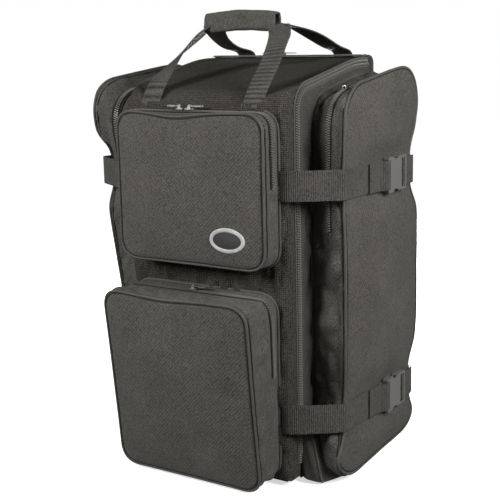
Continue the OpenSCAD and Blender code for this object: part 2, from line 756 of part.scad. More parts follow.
module trolley_button() color(plastic) placed() {
    translate([-tube_x - rod_d + over, tube_y - button_d / 2, bar_z])
        cube([2 * (tube_x + rod_d - over), button_d, pull_h / 2 - pull_wall - button_travel - over]);
    across(-button_w / 2, button_w) translate([tube_y, bar_z + pull_h / 4])
        round_plate([button_d, pull_h / 2 + 2 * over], button_r);
}
module lock_rods() color(metal) placed() for (side = [-1, 1])
    translate([side * tube_x, tube_y, inner_bottom + rod_end])
        cylinder(d = rod_d, h = bar_z - inner_bottom - rod_end);

// Zip sliders, drawn at the origin: the tape is the XY plane, the zip runs along X, the pull points to +X
module slider() {
    translate([0, 0, slider_lift]) difference() {
        // Plate that narrows from its shoulders to its tail
        linear_extrude(plate_t) polygon(rounded([
            [-slider_len / 2, -slider_w / 2], [slider_len / 4, -slider_w / 2],
            [slider_len / 2, -slider_w / 3], [slider_len / 2, slider_w / 3],
            [slider_len / 4, slider_w / 2], [-slider_len / 2, slider_w / 2]],
            [for (k = [0 : 5]) plate_r], 3));
        // Channel that the coils run through
        translate([-slider_len, -slider_w / 4, -over]) cube([2 * slider_len, slider_w / 2, over + coil_cut]);
    }
    for (side = [-1, 1])
        translate([0, side * (pull_w / 4 + post_t / 2 + post_gap) - post_t / 2, slider_lift + plate_t - sink])
            rotate([90, 0, 0]) translate([0, 0, -post_t]) linear_extrude(post_t) post_side();
    translate([0, 0, slider_lift + bail_lift]) rotate([90, 0, 0])
        cylinder(d = bail_d, h = pull_w / 2 + 2 * post_t, center = true);
}
// Side view of a post, cut off flat where it stands on the plate
module post_side() intersection() {
    translate([0, (bail_lift - plate_t) / 2])
        round_plate([post_len, bail_lift - plate_t + 2 * ring_t], post_r);
    translate([-post_len, 0]) square([2 * post_len, 2 * bail_lift]);
}
// Front of a pull's tab, with its eye
module pull_tab() difference() {
    polygon(rounded([
        [neck_start, -pull_w / 4], [tab_start, -pull_w / 2], [pull_len, -pull_w / 2],
        [pull_len, pull_w / 2], [tab_start, pull_w / 2], [neck_start, pull_w / 4]],
        [0, tab_r / 3, tab_r, tab_r, tab_r / 3, 0], 4));
    translate([pull_len - eye_w, 0]) round_plate([eye_w, eye_h], eye_r);
}
module slider_pull() translate([0, 0, slider_lift + bail_lift]) difference() {
    union() {
        rotate([90, 0, 0]) cylinder(d = bail_d + 2 * ring_t, h = pull_w / 2, center = true);
        translate([0, -pull_w / 4, -pull_t / 2]) cube([neck_end, pull_w / 2, pull_t]);
        translate([0, 0, -pull_t / 2]) linear_extrude(pull_t) pull_tab();
    }
    rotate([90, 0, 0]) cylinder(d = bail_d + 2 * run_gap, h = pull_w, center = true);
}

module on_upper(x, way) placed() translate([x, -up_d / 2, up_top]) rotate(way > 0 ? 0 : 180) children();
module on_lower() placed() translate([lower_slider_x, -low_zip_y, low_top]) children();
module on_side(side) placed() translate([side * (half_w + side_zip_x), side_y, side_front_h])
    rotate([side_tilt, 0, 0]) translate([0, side_slider_y, 0]) rotate(90) children();
module on_main(x, way) placed() translate([x, zip_rear, body_h]) rotate(way > 0 ? 0 : 180) children();

module slider_upper_left() color(metal) on_upper(upper_slider_x - upper_slider_gap, -1) slider();
module slider_upper_right() color(metal) on_upper(upper_slider_x + upper_slider_gap, 1) slider();
module slider_lower() color(metal) on_lower() slider();
module slider_side_left() color(metal) on_side(-1) slider();
module slider_side_right() color(metal) on_side(1) slider();
// Way of the flap's edge as it lifts from under the main sliders
module flap_way() placed() across(-half_w, body_w) polygon([
    [zip_rear, body_h + tape_t], [zip_rear - slider_w, body_h + tape_t],
    [zip_rear - slider_w, body_h + tape_t + flap_rise * slider_w]]);
module slider_main_left() color(metal) difference() {
    on_main(main_slider_x - main_slider_gap, -1) slider();
    flap_way();
}
module slider_main_right() color(metal) difference() {
    on_main(main_slider_x + main_slider_gap, 1) slider();
    flap_way();
}
module pull_upper_left() color(metal) on_upper(upper_slider_x - upper_slider_gap, -1) slider_pull();
module pull_upper_right() color(metal) on_upper(upper_slider_x + upper_slider_gap, 1) slider_pull();
module pull_lower() color(metal) on_lower() slider_pull();
module pull_side_left() color(metal) on_side(-1) slider_pull();
module pull_side_right() color(metal) on_side(1) slider_pull();
module pull_main_left() color(metal) on_main(main_slider_x - main_slider_gap, -1) slider_pull();
module pull_main_right() color(metal) on_main(main_slider_x + main_slider_gap, 1) slider_pull();

main_shell();
back_board();
base_board();
fold_cord();
front_feet();
wheel_housing_left();
wheel_housing_right();
wheel_axles();
side_pocket_left();
side_pocket_right();
side_piping();
side_zips();
body_zip();
rear_handle_web();
trolley_outer_tubes();
trolley_bracket();
trolley_bezel();
trolley_cover();
straps_rear();
flap_panel();
flap_zip();
upper_pocket();
upper_piping();
upper_zip();
lower_pocket();
lower_piping();
lower_zip();
badge();
front_handle_web();
handle_grip();
straps_front();
buckle_sockets();
plug_left_high();
plug_left_low();
plug_right_high();
plug_right_low();
tyre_left();
tyre_right();
hub_left();
hub_right();
trolley_inner_tubes();
trolley_grip();
trolley_button();
lock_rods();
slider_upper_left();
slider_upper_right();
slider_lower();
slider_side_left();
slider_side_right();
slider_main_left();
slider_main_right();
pull_upper_left();
pull_upper_right();
pull_lower();
pull_side_left();
pull_side_right();
pull_main_left();
pull_main_right();
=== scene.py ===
"""Looks of a rolling flight crew gear bag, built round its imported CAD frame.

Metres throughout, in the frame's own axes: X to the bag's side, Y to its back, Z up.
"""

import json
import logging
import math
from dataclasses import dataclass, field
from enum import Enum
from typing import Callable, Dict, List, Optional, Sequence, Tuple

import bpy
import numpy as np
from mathutils import Matrix, Vector, noise
from mathutils.kdtree import KDTree

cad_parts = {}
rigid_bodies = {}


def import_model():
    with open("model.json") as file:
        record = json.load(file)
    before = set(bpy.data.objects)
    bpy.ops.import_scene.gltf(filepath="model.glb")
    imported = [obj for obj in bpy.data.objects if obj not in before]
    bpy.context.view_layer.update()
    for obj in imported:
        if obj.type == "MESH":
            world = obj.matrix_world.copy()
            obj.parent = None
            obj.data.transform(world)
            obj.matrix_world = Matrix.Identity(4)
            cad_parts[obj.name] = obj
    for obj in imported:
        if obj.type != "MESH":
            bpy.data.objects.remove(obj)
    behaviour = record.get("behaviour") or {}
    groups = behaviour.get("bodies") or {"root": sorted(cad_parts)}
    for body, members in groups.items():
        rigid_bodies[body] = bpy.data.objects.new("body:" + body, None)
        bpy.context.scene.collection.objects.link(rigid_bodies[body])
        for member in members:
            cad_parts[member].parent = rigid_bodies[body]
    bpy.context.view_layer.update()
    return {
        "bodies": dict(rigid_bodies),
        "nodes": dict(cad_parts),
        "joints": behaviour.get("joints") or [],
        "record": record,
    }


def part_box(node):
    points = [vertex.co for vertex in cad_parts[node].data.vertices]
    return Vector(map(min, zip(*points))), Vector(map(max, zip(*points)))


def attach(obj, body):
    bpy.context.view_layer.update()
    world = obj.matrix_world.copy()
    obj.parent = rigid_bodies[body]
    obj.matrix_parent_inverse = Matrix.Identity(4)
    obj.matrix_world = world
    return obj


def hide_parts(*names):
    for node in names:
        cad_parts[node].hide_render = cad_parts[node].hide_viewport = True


LOG = logging.getLogger("gear_bag")
Obj = bpy.types.Object
Mat = bpy.types.Material
Array = np.ndarray
Triple = Tuple[float, float, float]
Node = bpy.types.Node
Socket = bpy.types.NodeSocket
Tree = bpy.types.NodeTree

STRAP_Z = (0.516, 0.122)  # heights of the straps
UPPER = 0.3  # height that parts the upper straps from the lower ones
SETTLE_FLOOR = 0.004  # lowest place of cloth as it settles
FINISH_FLOOR = 0.003  # lowest place of finished cloth
TAPE_W, TAPE_LIFT = 0.012, 0.0008  # a pocket zip's tape, and its height above the cloth
COIL_ROWS = (-0.0021, 0.0021)  # a pocket zip's rows of coils, from the tape's middle
MAIN_ZIP_LIFT = 0.0006  # height of the main zip's tape above the cloth
SEAM_R, SHADE_LINE_R = 0.0022, 0.0013  # half the thickness of a seam and of a dark line of painted shade beside the piping


# Plane and path geometry


def rounded(points: Sequence[Tuple[float, float]], radii: Sequence[float], steps: int = 6) -> Array:
    """Rounds the inner corners of an open polyline.

    Args:
        points: The polyline's corners.
        radii: A radius for each corner, 0 where it stays sharp.
        steps: Segments in each round.

    Returns:
        The rounded polyline, one row per point.
    """
    p = [np.array(q, float) for q in points]
    out = [p[0]]
    for k in range(1, len(p) - 1):
        u = (p[k - 1] - p[k]) / np.linalg.norm(p[k - 1] - p[k])
        v = (p[k + 1] - p[k]) / np.linalg.norm(p[k + 1] - p[k])
        half = math.acos(float(np.clip(u @ v, -1, 1))) / 2
        r = radii[k]
        if r <= 0:
            out.append(p[k])
            continue
        middle = p[k] + (u + v) / np.linalg.norm(u + v) * r / math.sin(half)
        a, b = p[k] + u * r / math.tan(half) - middle, p[k] + v * r / math.tan(half) - middle
        start = math.atan2(a[1], a[0])
        sweep = (math.atan2(b[1], b[0]) - start + math.pi) % (2 * math.pi) - math.pi
        for i in range(steps + 1):
            t = start + sweep * i / steps
            out.append(middle + r * np.array([math.cos(t), math.sin(t)]))
    out.append(p[-1])
    return np.array(out)


def spread(points: Array, step: float) -> List[int]:
    """Counts how many pieces each segment of a polyline is cut into, each about a step long."""
    return [max(1, round(float(np.linalg.norm(b - a)) / step)) for a, b in zip(points[:-1], points[1:])]


def cut(points: Array, counts: Sequence[int]) -> Array:
    """Cuts each segment of a polyline into the given number of equal pieces."""
    rows = [points[0]]
    for a, b, n in zip(points[:-1], points[1:], counts):
        rows += [a + (b - a) * (i + 1) / n for i in range(n)]
    return np.array(rows)


def lengths(path: Array) -> Array:
    """Distance along a path at each of its points."""
    return np.concatenate([[0.0], np.cumsum(np.linalg.norm(np.diff(path, axis=0), axis=1))])


def read_along(rows: Array, s: Array, at: Array) -> Array:
    """Rows of values at some distances, from rows at the distances s."""
    return np.stack([np.interp(at, s, rows[:, k]) for k in range(rows.shape[1])], axis=1)


def resample(path: Array, step: float) -> Array:
    """Evenly spaced points along a path."""
    s = lengths(path)
    at = np.linspace(0, s[-1], max(2, int(round(s[-1] / step)) + 1))
    return read_along(path, s, at)


def relax(path: Array, rounds: int = 3) -> Array:
    """Cuts the corners of an open polyline, so that it runs smoothly between its ends."""
    for _ in range(rounds):
        a, b = path[:-1], path[1:]
        mid = np.stack([0.75 * a + 0.25 * b, 0.25 * a + 0.75 * b], axis=1).reshape(-1, path.shape[1])
        path = np.vstack([path[:1], mid[1:-1], path[-1:]])
    return path


def unit(v: Array) -> Array:
    """Each row at unit length."""
    return v / np.maximum(np.linalg.norm(v, axis=-1, keepdims=True), 1e-12)


def tangents(path: Array, closed: bool = False) -> Array:
    """Direction of travel at each point of a path."""
    if closed:
        return unit(np.roll(path, -1, axis=0) - np.roll(path, 1, axis=0))
    return unit(np.gradient(path, axis=0))


def gap_to(line: Array, points: Array) -> Array:
    """Distance from each point to the nearest point of a line."""
    tree = KDTree(len(line))
    for k, p in enumerate(line):
        tree.insert(p, k)
    tree.balance()
    return np.array([tree.find(p)[2] for p in points])


def on_cloth(obj: Obj, line: Array, lift: float) -> Array:
    """The nearest line on an object's surface, lifted off it."""
    rows = []
    for p in line:
        _, at, out, _ = obj.closest_point_on_mesh(Vector(p))
        rows.append(at + lift * out)
    return np.array(rows)


def smooth_ring(ring: Array, rounds: int) -> Array:
    """Evens out a closed ring of points."""
    for _ in range(rounds):
        ring = 0.25 * np.roll(ring, 1, axis=0) + 0.5 * ring + 0.25 * np.roll(ring, -1, axis=0)
    return ring


# Mesh making


def side_word(side: int) -> str:
    """Which side of the bag a sign of x stands for."""
    return "left" if side < 0 else "right"


def deselect() -> None:
    """Leaves edit mode and deselects every object."""
    if bpy.context.object and bpy.context.object.mode != "OBJECT":
        bpy.ops.object.mode_set(mode="OBJECT")
    bpy.ops.object.select_all(action="DESELECT")


def activate(obj: Obj) -> Obj:
    """Makes obj the only selected object, and the active one."""
    deselect()
    obj.select_set(True)
    bpy.context.view_layer.objects.active = obj
    return obj


def modify(obj: Obj, kind: str, **settings: object) -> Obj:
    """Adds a modifier with these settings and applies it."""
    activate(obj)
    mod = obj.modifiers.new(kind.title(), kind)
    for key, value in settings.items():
        setattr(mod, key, value)
    bpy.ops.object.modifier_apply(modifier=mod.name)
    return obj


def points_of(obj: Obj, what: str = "co") -> Array:
    """An object's vertices, one row each."""
    co = np.zeros(len(obj.data.vertices) * 3)
    obj.data.vertices.foreach_get(what, co)
    return co.reshape(-1, 3)


def normals_of(obj: Obj) -> Array:
    """An object's vertex normals, one row each."""
    return points_of(obj, "normal")


def move_points(obj: Obj, co: Array) -> Obj:
    """Puts an object's vertices at these places."""
    obj.data.vertices.foreach_set("co", np.asarray(co, np.float32).ravel())
    obj.data.update()
    return obj


def edit(obj: Obj, *steps: Callable[[], object]) -> Obj:
    """Runs operators in edit mode with all of obj selected."""
    activate(obj)
    bpy.ops.object.mode_set(mode="EDIT")
    bpy.ops.mesh.select_all(action="SELECT")
    for step in steps:
        step()
    bpy.ops.object.mode_set(mode="OBJECT")
    return obj


def in_order(obj: Obj) -> Obj:
    """Rebuilds a mesh with its faces in the order of their points, so that each run gives the same mesh."""
    faces = []
    for polygon in obj.data.polygons:
        ring = list(polygon.vertices)
        first = ring.index(min(ring))
        faces.append(ring[first:] + ring[:first])
    old, mesh = obj.data, bpy.data.meshes.new(obj.name)
    mesh.from_pydata(points_of(obj).tolist(), [], sorted(faces))
    obj.data = mesh
    bpy.data.meshes.remove(old)
    return obj


def face_outwards(obj: Obj, middle: Sequence[float]) -> Obj:
    """Turns an open sheet so that its front faces away from a point."""
    away = ((points_of(obj) - np.array(middle)) * normals_of(obj)).sum()
    if away < 0:
        edit(obj, bpy.ops.mesh.flip_normals)
    return obj


def smooth(obj: Obj, degrees: float = 40) -> Obj:
    """Shades an object smooth, but for its sharp edges."""
    activate(obj)
    bpy.ops.object.shade_smooth_by_angle(angle=math.radians(degrees))
    return obj


def lay_grid(
    name: str, across: int, along: int, place: Callable[[Array, Array], Array], size: Tuple[float, float] = (1, 1)
) -> Obj:
    """Adds a grid and lays it on a surface.

    Args:
        name: The piece's name.
        across: Faces across the grid.
        along: Faces along the grid.
        place: Gives the points for arrays of u and v, both from 0 to 1.
        size: Real width and length of the sheet, which its UV map takes.

    Returns:
        The new object.
    """
    deselect()
    bpy.ops.mesh.primitive_grid_add(x_subdivisions=across, y_subdivisions=along, size=2)
    obj = bpy.context.object
    obj.name = obj.data.name = name
    co = points_of(obj)
    move_points(obj, place((co[:, 0] + 1) / 2, (co[:, 1] + 1) / 2))
    uv = obj.data.uv_layers.active.data
    flat = np.zeros(len(uv) * 2)
    uv.foreach_get("uv", flat)
    uv.foreach_set("uv", (flat.reshape(-1, 2) * np.array(size)).ravel())
    return obj


def by_index(table: Array) -> Callable[[Array, Array], Array]:
    """A place function that reads a table of points, columns by u and rows by v."""
    rows, columns = table.shape[:2]

    def place(u: Array, v: Array) -> Array:
        """Looks up the nearest entry."""
        return table[np.rint(v * (rows - 1)).astype(int), np.rint(u * (columns - 1)).astype(int)]

    return place


def lay_table(name: str, table: Array) -> Obj:
    """A sheet through a table of points, with its UV map in metres."""
    wide = float(np.linalg.norm(np.diff(table, axis=1), axis=2).sum(axis=1).mean())
    long = float(np.linalg.norm(np.diff(table, axis=0), axis=2).sum(axis=0).mean())
    return lay_grid(name, table.shape[1] - 1, table.shape[0] - 1, by_index(table), (wide, long))


def tube(name: str, path: Array, radius: float, closed: bool, sides: int = 8) -> Obj:
    """A round strand along a path.

    Args:
        name: The piece's name.
        path: The strand's middle line.
        radius: Half its thickness.
        closed: Whether the path is a loop.
        sides: Faces round the strand.

    Returns:
        The new object.
    """
    way = tangents(path, closed)
    side = np.zeros_like(path)
    start = np.array([0.0, 0.0, 1.0]) if abs(way[0][2]) < 0.8 else np.array([0.0, 1.0, 0.0])
    for k in range(len(path)):
        start = start - way[k] * (start @ way[k])
        start = start / np.linalg.norm(start)
        side[k] = start
    other = np.cross(way, side)
    turn = np.linspace(0, 2 * math.pi, sides + 1)
    ring = np.cos(turn)[None, :, None] * side[:, None] + np.sin(turn)[None, :, None] * other[:, None]
    ring = path[:, None] + radius * ring
    if closed:
        ring = np.concatenate([ring, ring[:1]], axis=0)
    obj = lay_table(name, ring)
    edit(obj, lambda: bpy.ops.mesh.remove_doubles(threshold=radius * 0.02))
    if not closed:
        edit(obj, lambda: bpy.ops.mesh.select_all(action="DESELECT"), select_open_edges, bpy.ops.mesh.edge_face_add)
    return smooth(edit(obj, bpy.ops.mesh.normals_make_consistent))


def select_open_edges() -> None:
    """Selects the open edges of the mesh being edited."""
    bpy.ops.mesh.select_mode(type="EDGE")
    bpy.ops.mesh.select_non_manifold(
        extend=False, use_wire=False, use_boundary=True, use_multi_face=False, use_non_contiguous=False, use_verts=False
    )


def ribbon(name: str, path: Array, across: Array, width: float, thick: float, crown: float = 0.0) -> Obj:
    """A woven band along a path.

    Args:
        name: The piece's name.
        path: The band's middle line.
        across: Its width's direction at each point.
        width: Its width.
        thick: Its thickness.
        crown: How far its middle stands above its edges.

    Returns:
        The new object.
    """
    way = tangents(path)
    across = unit(across - way * (across * way).sum(axis=1, keepdims=True))
    up = np.cross(across, way)
    at = np.linspace(-0.5, 0.5, 9)
    table = path[:, None] + at[None, :, None] * width * across[:, None]
    table = table + (crown * (1 - 4 * at**2))[None, :, None] * up[:, None]
    obj = lay_table(name, table)
    modify(obj, "SOLIDIFY", thickness=thick, offset=0, use_even_offset=True)
    modify(obj, "BEVEL", width=thick * 0.3, segments=2, limit_method="ANGLE", angle_limit=math.radians(50))
    return smooth(obj)


def repeat(name: str, one: Obj, frames: Sequence[Matrix]) -> Obj:
    """Copies a small shape to many places in one mesh, and removes the shape."""
    base = np.hstack([points_of(one), np.ones((len(one.data.vertices), 1))])
    faces = [list(p.vertices) for p in one.data.polygons]
    n = len(base)
    co = np.vstack([base @ np.array(m).T[:, :3] for m in frames])
    mesh = bpy.data.meshes.new(name)
    mesh.from_pydata(co.tolist(), [], [[i + n * k for i in f] for k in range(len(frames)) for f in faces])
    obj = bpy.data.objects.new(name, mesh)
    bpy.context.scene.collection.objects.link(obj)
    bpy.data.objects.remove(one)
    return smooth(obj)


def block(size: Triple, bevel: float) -> Obj:
    """A small block with bevelled edges, resting on the XY plane."""
    deselect()
    bpy.ops.mesh.primitive_cube_add(size=1, location=(0, 0, 0))
    obj = bpy.context.object
    move_points(obj, (points_of(obj) + np.array([0, 0, 0.5])) * np.array(size))
    return modify(obj, "BEVEL", width=bevel, segments=1)


def frames_along(path: Array, across: Array, pitch: float, shift: float, start: float) -> List[Matrix]:
    """Places along a path, X with its travel, Y across it and Z out of it.

    Args:
        path: The line that the places follow.
        across: Direction across it at each point.
        pitch: Distance between the places.
        shift: Distance of the places across the line.
        start: The first place, as a share of the pitch.

    Returns:
        One matrix per place.
    """
    s = lengths(path)
    at = np.arange(pitch * (start + 0.01), s[-1], pitch)
    way = unit(read_along(tangents(path), s, at))
    y = read_along(across, s, at)
    y = unit(y - way * (y * way).sum(axis=1, keepdims=True))
    columns = np.stack([way, y, np.cross(way, y), read_along(path, s, at) + y * shift], axis=2)
    return [Matrix((*rows.tolist(), (0, 0, 0, 1))) for rows in columns]


def turned_out(m: Matrix, out: Vector, lift: float) -> Matrix:
    """A place with its Z turned to a side, lifted that way."""
    if m.col[2].to_3d().dot(out) < 0:
        m = m @ Matrix.Rotation(math.pi, 4, "X")
    return m @ Matrix.Translation((0, 0, lift))


def ruffle(obj: Obj, height: float, scale: Sequence[float], seed: float, hold: Optional[Array] = None) -> Obj:
    """Moves a sheet's points in and out in folds with sharp valleys.

    Args:
        obj: The sheet.
        height: The folds' height.
        scale: Their size along x, y and z.
        seed: Chooses the pattern.
        hold: A share from 0 to 1 for each point, 0 where it is held.

    Returns:
        The same object.
    """
    co, out = points_of(obj), normals_of(obj)
    at = co / np.array(scale) + seed
    shift = np.array([noise.noise(Vector(p)) + 0.4 * noise.noise(Vector(2.1 * p)) for p in at])
    shift = 1.6 * np.sqrt(shift**2 + 0.002) - 0.5
    if hold is not None:
        shift = shift * hold
    return move_points(obj, co + out * (height * shift)[:, None])


def join(name: str, parts: Sequence[Obj]) -> Obj:
    """Joins objects into one."""
    deselect()
    for part in parts:
        part.select_set(True)
    bpy.context.view_layer.objects.active = parts[0]
    bpy.ops.object.join()
    parts[0].name = parts[0].data.name = name
    return parts[0]


# Finishes


class Pattern(Enum):
    """How the yarns of a fabric cross."""

    TWILL = "twill"
    BASKET = "basket"
    RIBS = "ribs"


class Nodes:
    """Adds and links shader nodes in one tree."""

    def __init__(self, tree: Tree) -> None:
        """Starts with an empty tree."""
        self.tree = tree
        tree.nodes.clear()

    def add(self, kind: str, inputs: Optional[Dict[object, object]] = None, **settings: object) -> Node:
        """Adds a node.

        Args:
            kind: The node's type, without ShaderNode.
            inputs: A value or an output socket for each named or numbered input.
            settings: The node's own settings.

        Returns:
            The node.
        """
        node = self.tree.nodes.new("ShaderNode" + kind if not kind.startswith("Node") else kind)
        for key, value in settings.items():
            setattr(node, key, value)
        for key, value in (inputs or {}).items():
            if isinstance(value, Socket):
                self.tree.links.new(value, node.inputs[key])
            else:
                node.inputs[key].default_value = value
        return node

    def math(self, how: str, a: object, b: object = 0.0, c: object = 0.0) -> Socket:
        """The result of one calculation."""
        return self.add("Math", {0: a, 1: b, 2: c}, operation=how).outputs[0]

    def wave(self, a: Socket, half_turns: float = 1.0) -> Socket:
        """Rounded ridges, one for each half turn."""
        return self.math("ABSOLUTE", self.math("SINE", self.math("MULTIPLY", a, half_turns * math.pi)))

    def send(self, end: Node, values: Dict[str, Socket]) -> Tree:
        """Links values to a group's output node and gives its tree."""
        for key, value in values.items():
            self.tree.links.new(value, end.inputs[key])
        return self.tree

    def noise(self, where: Node, scale: object, detail: float, rough: float = 0.5) -> Socket:
        """Noise on a piece's own coordinates."""
        inputs = {"Vector": where.outputs["Object"], "Scale": scale, "Detail": detail, "Roughness": rough}
        return self.add("TexNoise", inputs).outputs["Fac"]

    def tint(self, value: Socket, colours: Tuple[Triple, Triple], ends: Tuple[float, float]) -> Socket:
        """A colour between two, by a value between two ends."""
        node = self.add("ValToRGB", {0: value})
        for stop, at, colour in zip(node.color_ramp.elements, ends, colours):
            stop.position, stop.color = at, (*colour, 1)
        return node.outputs[0]

    def surface(self, colour: Socket, rough: Socket, bump: Dict[str, object], constants: Dict[str, float]) -> None:
        """Adds the bump, the shader with its constants, and the output."""
        normal = self.add("Bump", bump).outputs[0]
        shade = self.add("BsdfPrincipled", {"Base Color": colour, "Roughness": rough, "Normal": normal, **constants})
        self.add("OutputMaterial", {0: shade.outputs[0]})


def new_material(name: str) -> Tuple[Mat, Nodes]:
    """An empty material and its node adder."""
    mat = bpy.data.materials.new(name)
    mat.use_nodes = True
    return mat, Nodes(mat.node_tree)


def new_group(name: str, inputs: Dict[str, float], outputs: Sequence[str]) -> Tuple[Nodes, Node, Node]:
    """Starts a node group.

    Args:
        name: The group's name.
        inputs: Default for each input value.
        outputs: Names of the output values.

    Returns:
        The tree's node adder, its input node and its output node.
    """
    tree = bpy.data.node_groups.new(name, "ShaderNodeTree")
    for key, value in inputs.items():
        socket = tree.interface.new_socket(key, in_out="INPUT", socket_type="NodeSocketFloat")
        socket.default_value = value
    for key in outputs:
        tree.interface.new_socket(key, in_out="OUTPUT", socket_type="NodeSocketFloat")
    nodes = Nodes(tree)
    return nodes, nodes.add("NodeGroupInput"), nodes.add("NodeGroupOutput")


def weave_height(n: Nodes, a: Socket, b: Socket, pattern: Pattern) -> Socket:
    """Height of the yarns at a place.

    Args:
        n: The tree that gets the nodes.
        a: Place across the cloth, in yarns.
        b: Place along the cloth, in yarns.
        pattern: How the yarns cross.

    Returns:
        The socket with the height, from 0 to 1.
    """
    if pattern is Pattern.TWILL:
        ridge, grain = n.wave(n.math("ADD", a, b)), n.wave(n.math("SUBTRACT", a, b), 0.5)
        return n.math("MULTIPLY_ADD", grain, 0.35, n.math("MULTIPLY", ridge, 0.65))
    over, under = n.wave(a), n.wave(b)
    check = n.math("MODULO", n.math("ADD", n.math("FLOOR", a), n.math("FLOOR", b)), 2.0)
    return n.math("MULTIPLY_ADD", n.math("SUBTRACT", over, under), n.math("ABSOLUTE", check), under)


def weave_group(pattern: Pattern) -> Tree:
    """The node group of a woven cloth, laid on each side of a piece by its own faces' direction."""
    n, start, end = new_group("cloth_" + pattern.value, {"Yarn": 0.002}, ("Height", "Mottle", "Grain"))
    where = n.add("TexCoord")
    place = n.add("SeparateXYZ", {0: where.outputs["Object"]})
    face = n.add("SeparateXYZ", {0: where.outputs["Normal"]})
    x, y, z = (n.math("DIVIDE", place.outputs[k], start.outputs["Yarn"]) for k in range(3))
    ax, ay, az = (n.math("ABSOLUTE", face.outputs[k]) for k in range(3))
    front = weave_height(n, x, z, pattern)
    side = weave_height(n, y, z, pattern)
    top = weave_height(n, x, y, pattern)
    is_side = n.math("GREATER_THAN", ax, n.math("MAXIMUM", ay, az))
    is_top = n.math("GREATER_THAN", az, n.math("MAXIMUM", ax, ay))
    mixed = n.math("MULTIPLY_ADD", n.math("SUBTRACT", side, front), is_side, front)
    mixed = n.math("MULTIPLY_ADD", n.math("SUBTRACT", top, mixed), is_top, mixed)
    cloud = n.noise(where, 14.0, 4.0, 0.6)
    grain = n.noise(where, n.math("DIVIDE", 1.1, start.outputs["Yarn"]), 1.5, 0.55)
    return n.send(end, {"Height": mixed, "Mottle": cloud, "Grain": grain})


def rib_group() -> Tree:
    """The node group of webbing, ribbed across its length, on the piece's UV map."""
    n, start, end = new_group("webbing_ribs", {"Pitch": 0.0022, "Yarn": 0.0012}, ("Height", "Mottle", "Grain"))
    where = n.add("TexCoord")
    place = n.add("SeparateXYZ", {0: where.outputs["UV"]})
    rib = n.wave(n.math("DIVIDE", place.outputs[1], start.outputs["Pitch"]))
    yarn = n.wave(n.math("DIVIDE", place.outputs[0], start.outputs["Yarn"]))
    height = n.math("MULTIPLY_ADD", yarn, 0.3, n.math("MULTIPLY", rib, 0.7))
    return n.send(end, {"Height": height, "Mottle": n.noise(where, 30.0, 3.0), "Grain": n.noise(where, 320.0, 1.5)})


def grain_group() -> Tree:
    """The node group of a moulded or cast surface: fine grain, faint scuffs, and lighter edges for wear and for painted
    glints.
    """
    n, start, end = new_group("moulded_grain", {"Grain": 900.0}, ("Height", "Mottle", "WearAndGlint"))
    where = n.add("TexCoord")
    fine, cloud = n.noise(where, start.outputs["Grain"], 2.0), n.noise(where, 40.0, 5.0, 0.65)
    edge = n.add("NewGeometry").outputs["Pointiness"]
    # Convex edges get the lighter colour: wear, and on the zip coils painted glints.
    wear_and_glint = n.add("MapRange", {0: edge, 1: 0.5, 2: 0.6, 3: 0.0, 4: 1.0}).outputs[0]
    return n.send(end, {"Height": fine, "Mottle": cloud, "WearAndGlint": wear_and_glint})


@dataclass(frozen=True)
class Cloth:
    """A woven finish."""

    name: str
    dark: Triple
    light: Triple
    pattern: Pattern
    yarn: float
    depth: float
    rough: float = 0.78
    sheen: float = 0.06
    gloss: float = 0.22

    def make(self, groups: Dict[str, Tree]) -> Mat:
        """Builds the material."""
        mat, n = new_material(self.name)
        size = "Pitch" if self.pattern is Pattern.RIBS else "Yarn"
        weave = n.add("Group", {size: self.yarn}, node_tree=groups[self.pattern.value]).outputs
        cloud = n.math("MULTIPLY_ADD", weave["Mottle"], 0.4, n.math("MULTIPLY", weave["Grain"], 1.3))
        # The yarns' low places take the dark colour: painted shade in the weave's hollows; mottle and grain add random
        # tone.
        tone = n.math("MULTIPLY_ADD", weave["Height"], 0.8, n.math("SUBTRACT", cloud, 0.85))
        n.surface(
            n.tint(tone, (self.dark, self.light), (0.0, 1.0)),
            n.math("MULTIPLY_ADD", weave["Mottle"], 0.16, self.rough - 0.08),
            {"Height": weave["Height"], "Strength": 0.85, "Distance": self.depth},
            {"Sheen Weight": self.sheen, "Sheen Roughness": 0.45, "Specular IOR Level": self.gloss},
        )
        return mat


@dataclass(frozen=True)
class Hard:
    """A moulded, cast or drawn finish."""

    name: str
    colour: Triple
    wear_and_glint: Triple
    rough: float
    metal: float = 0.0
    grain: float = 900.0
    depth: float = 0.00006

    def make(self, groups: Dict[str, Tree]) -> Mat:
        """Builds the material."""
        mat, n = new_material(self.name)
        grain = n.add("Group", {"Grain": self.grain}, node_tree=groups["grain"]).outputs
        # Mottled spots and edges take the second colour: random tone and wear, and on the zip coils painted glints.
        tone = n.math("MULTIPLY_ADD", grain["Mottle"], 0.5, n.math("MULTIPLY", grain["WearAndGlint"], 0.7))
        n.surface(
            n.tint(tone, (self.colour, self.wear_and_glint), (0.15, 0.75)),
            n.math("MULTIPLY_ADD", grain["Mottle"], 0.18, self.rough - 0.09),
            {"Height": grain["Height"], "Strength": 0.5, "Distance": self.depth},
            {"Metallic": self.metal},
        )
        return mat


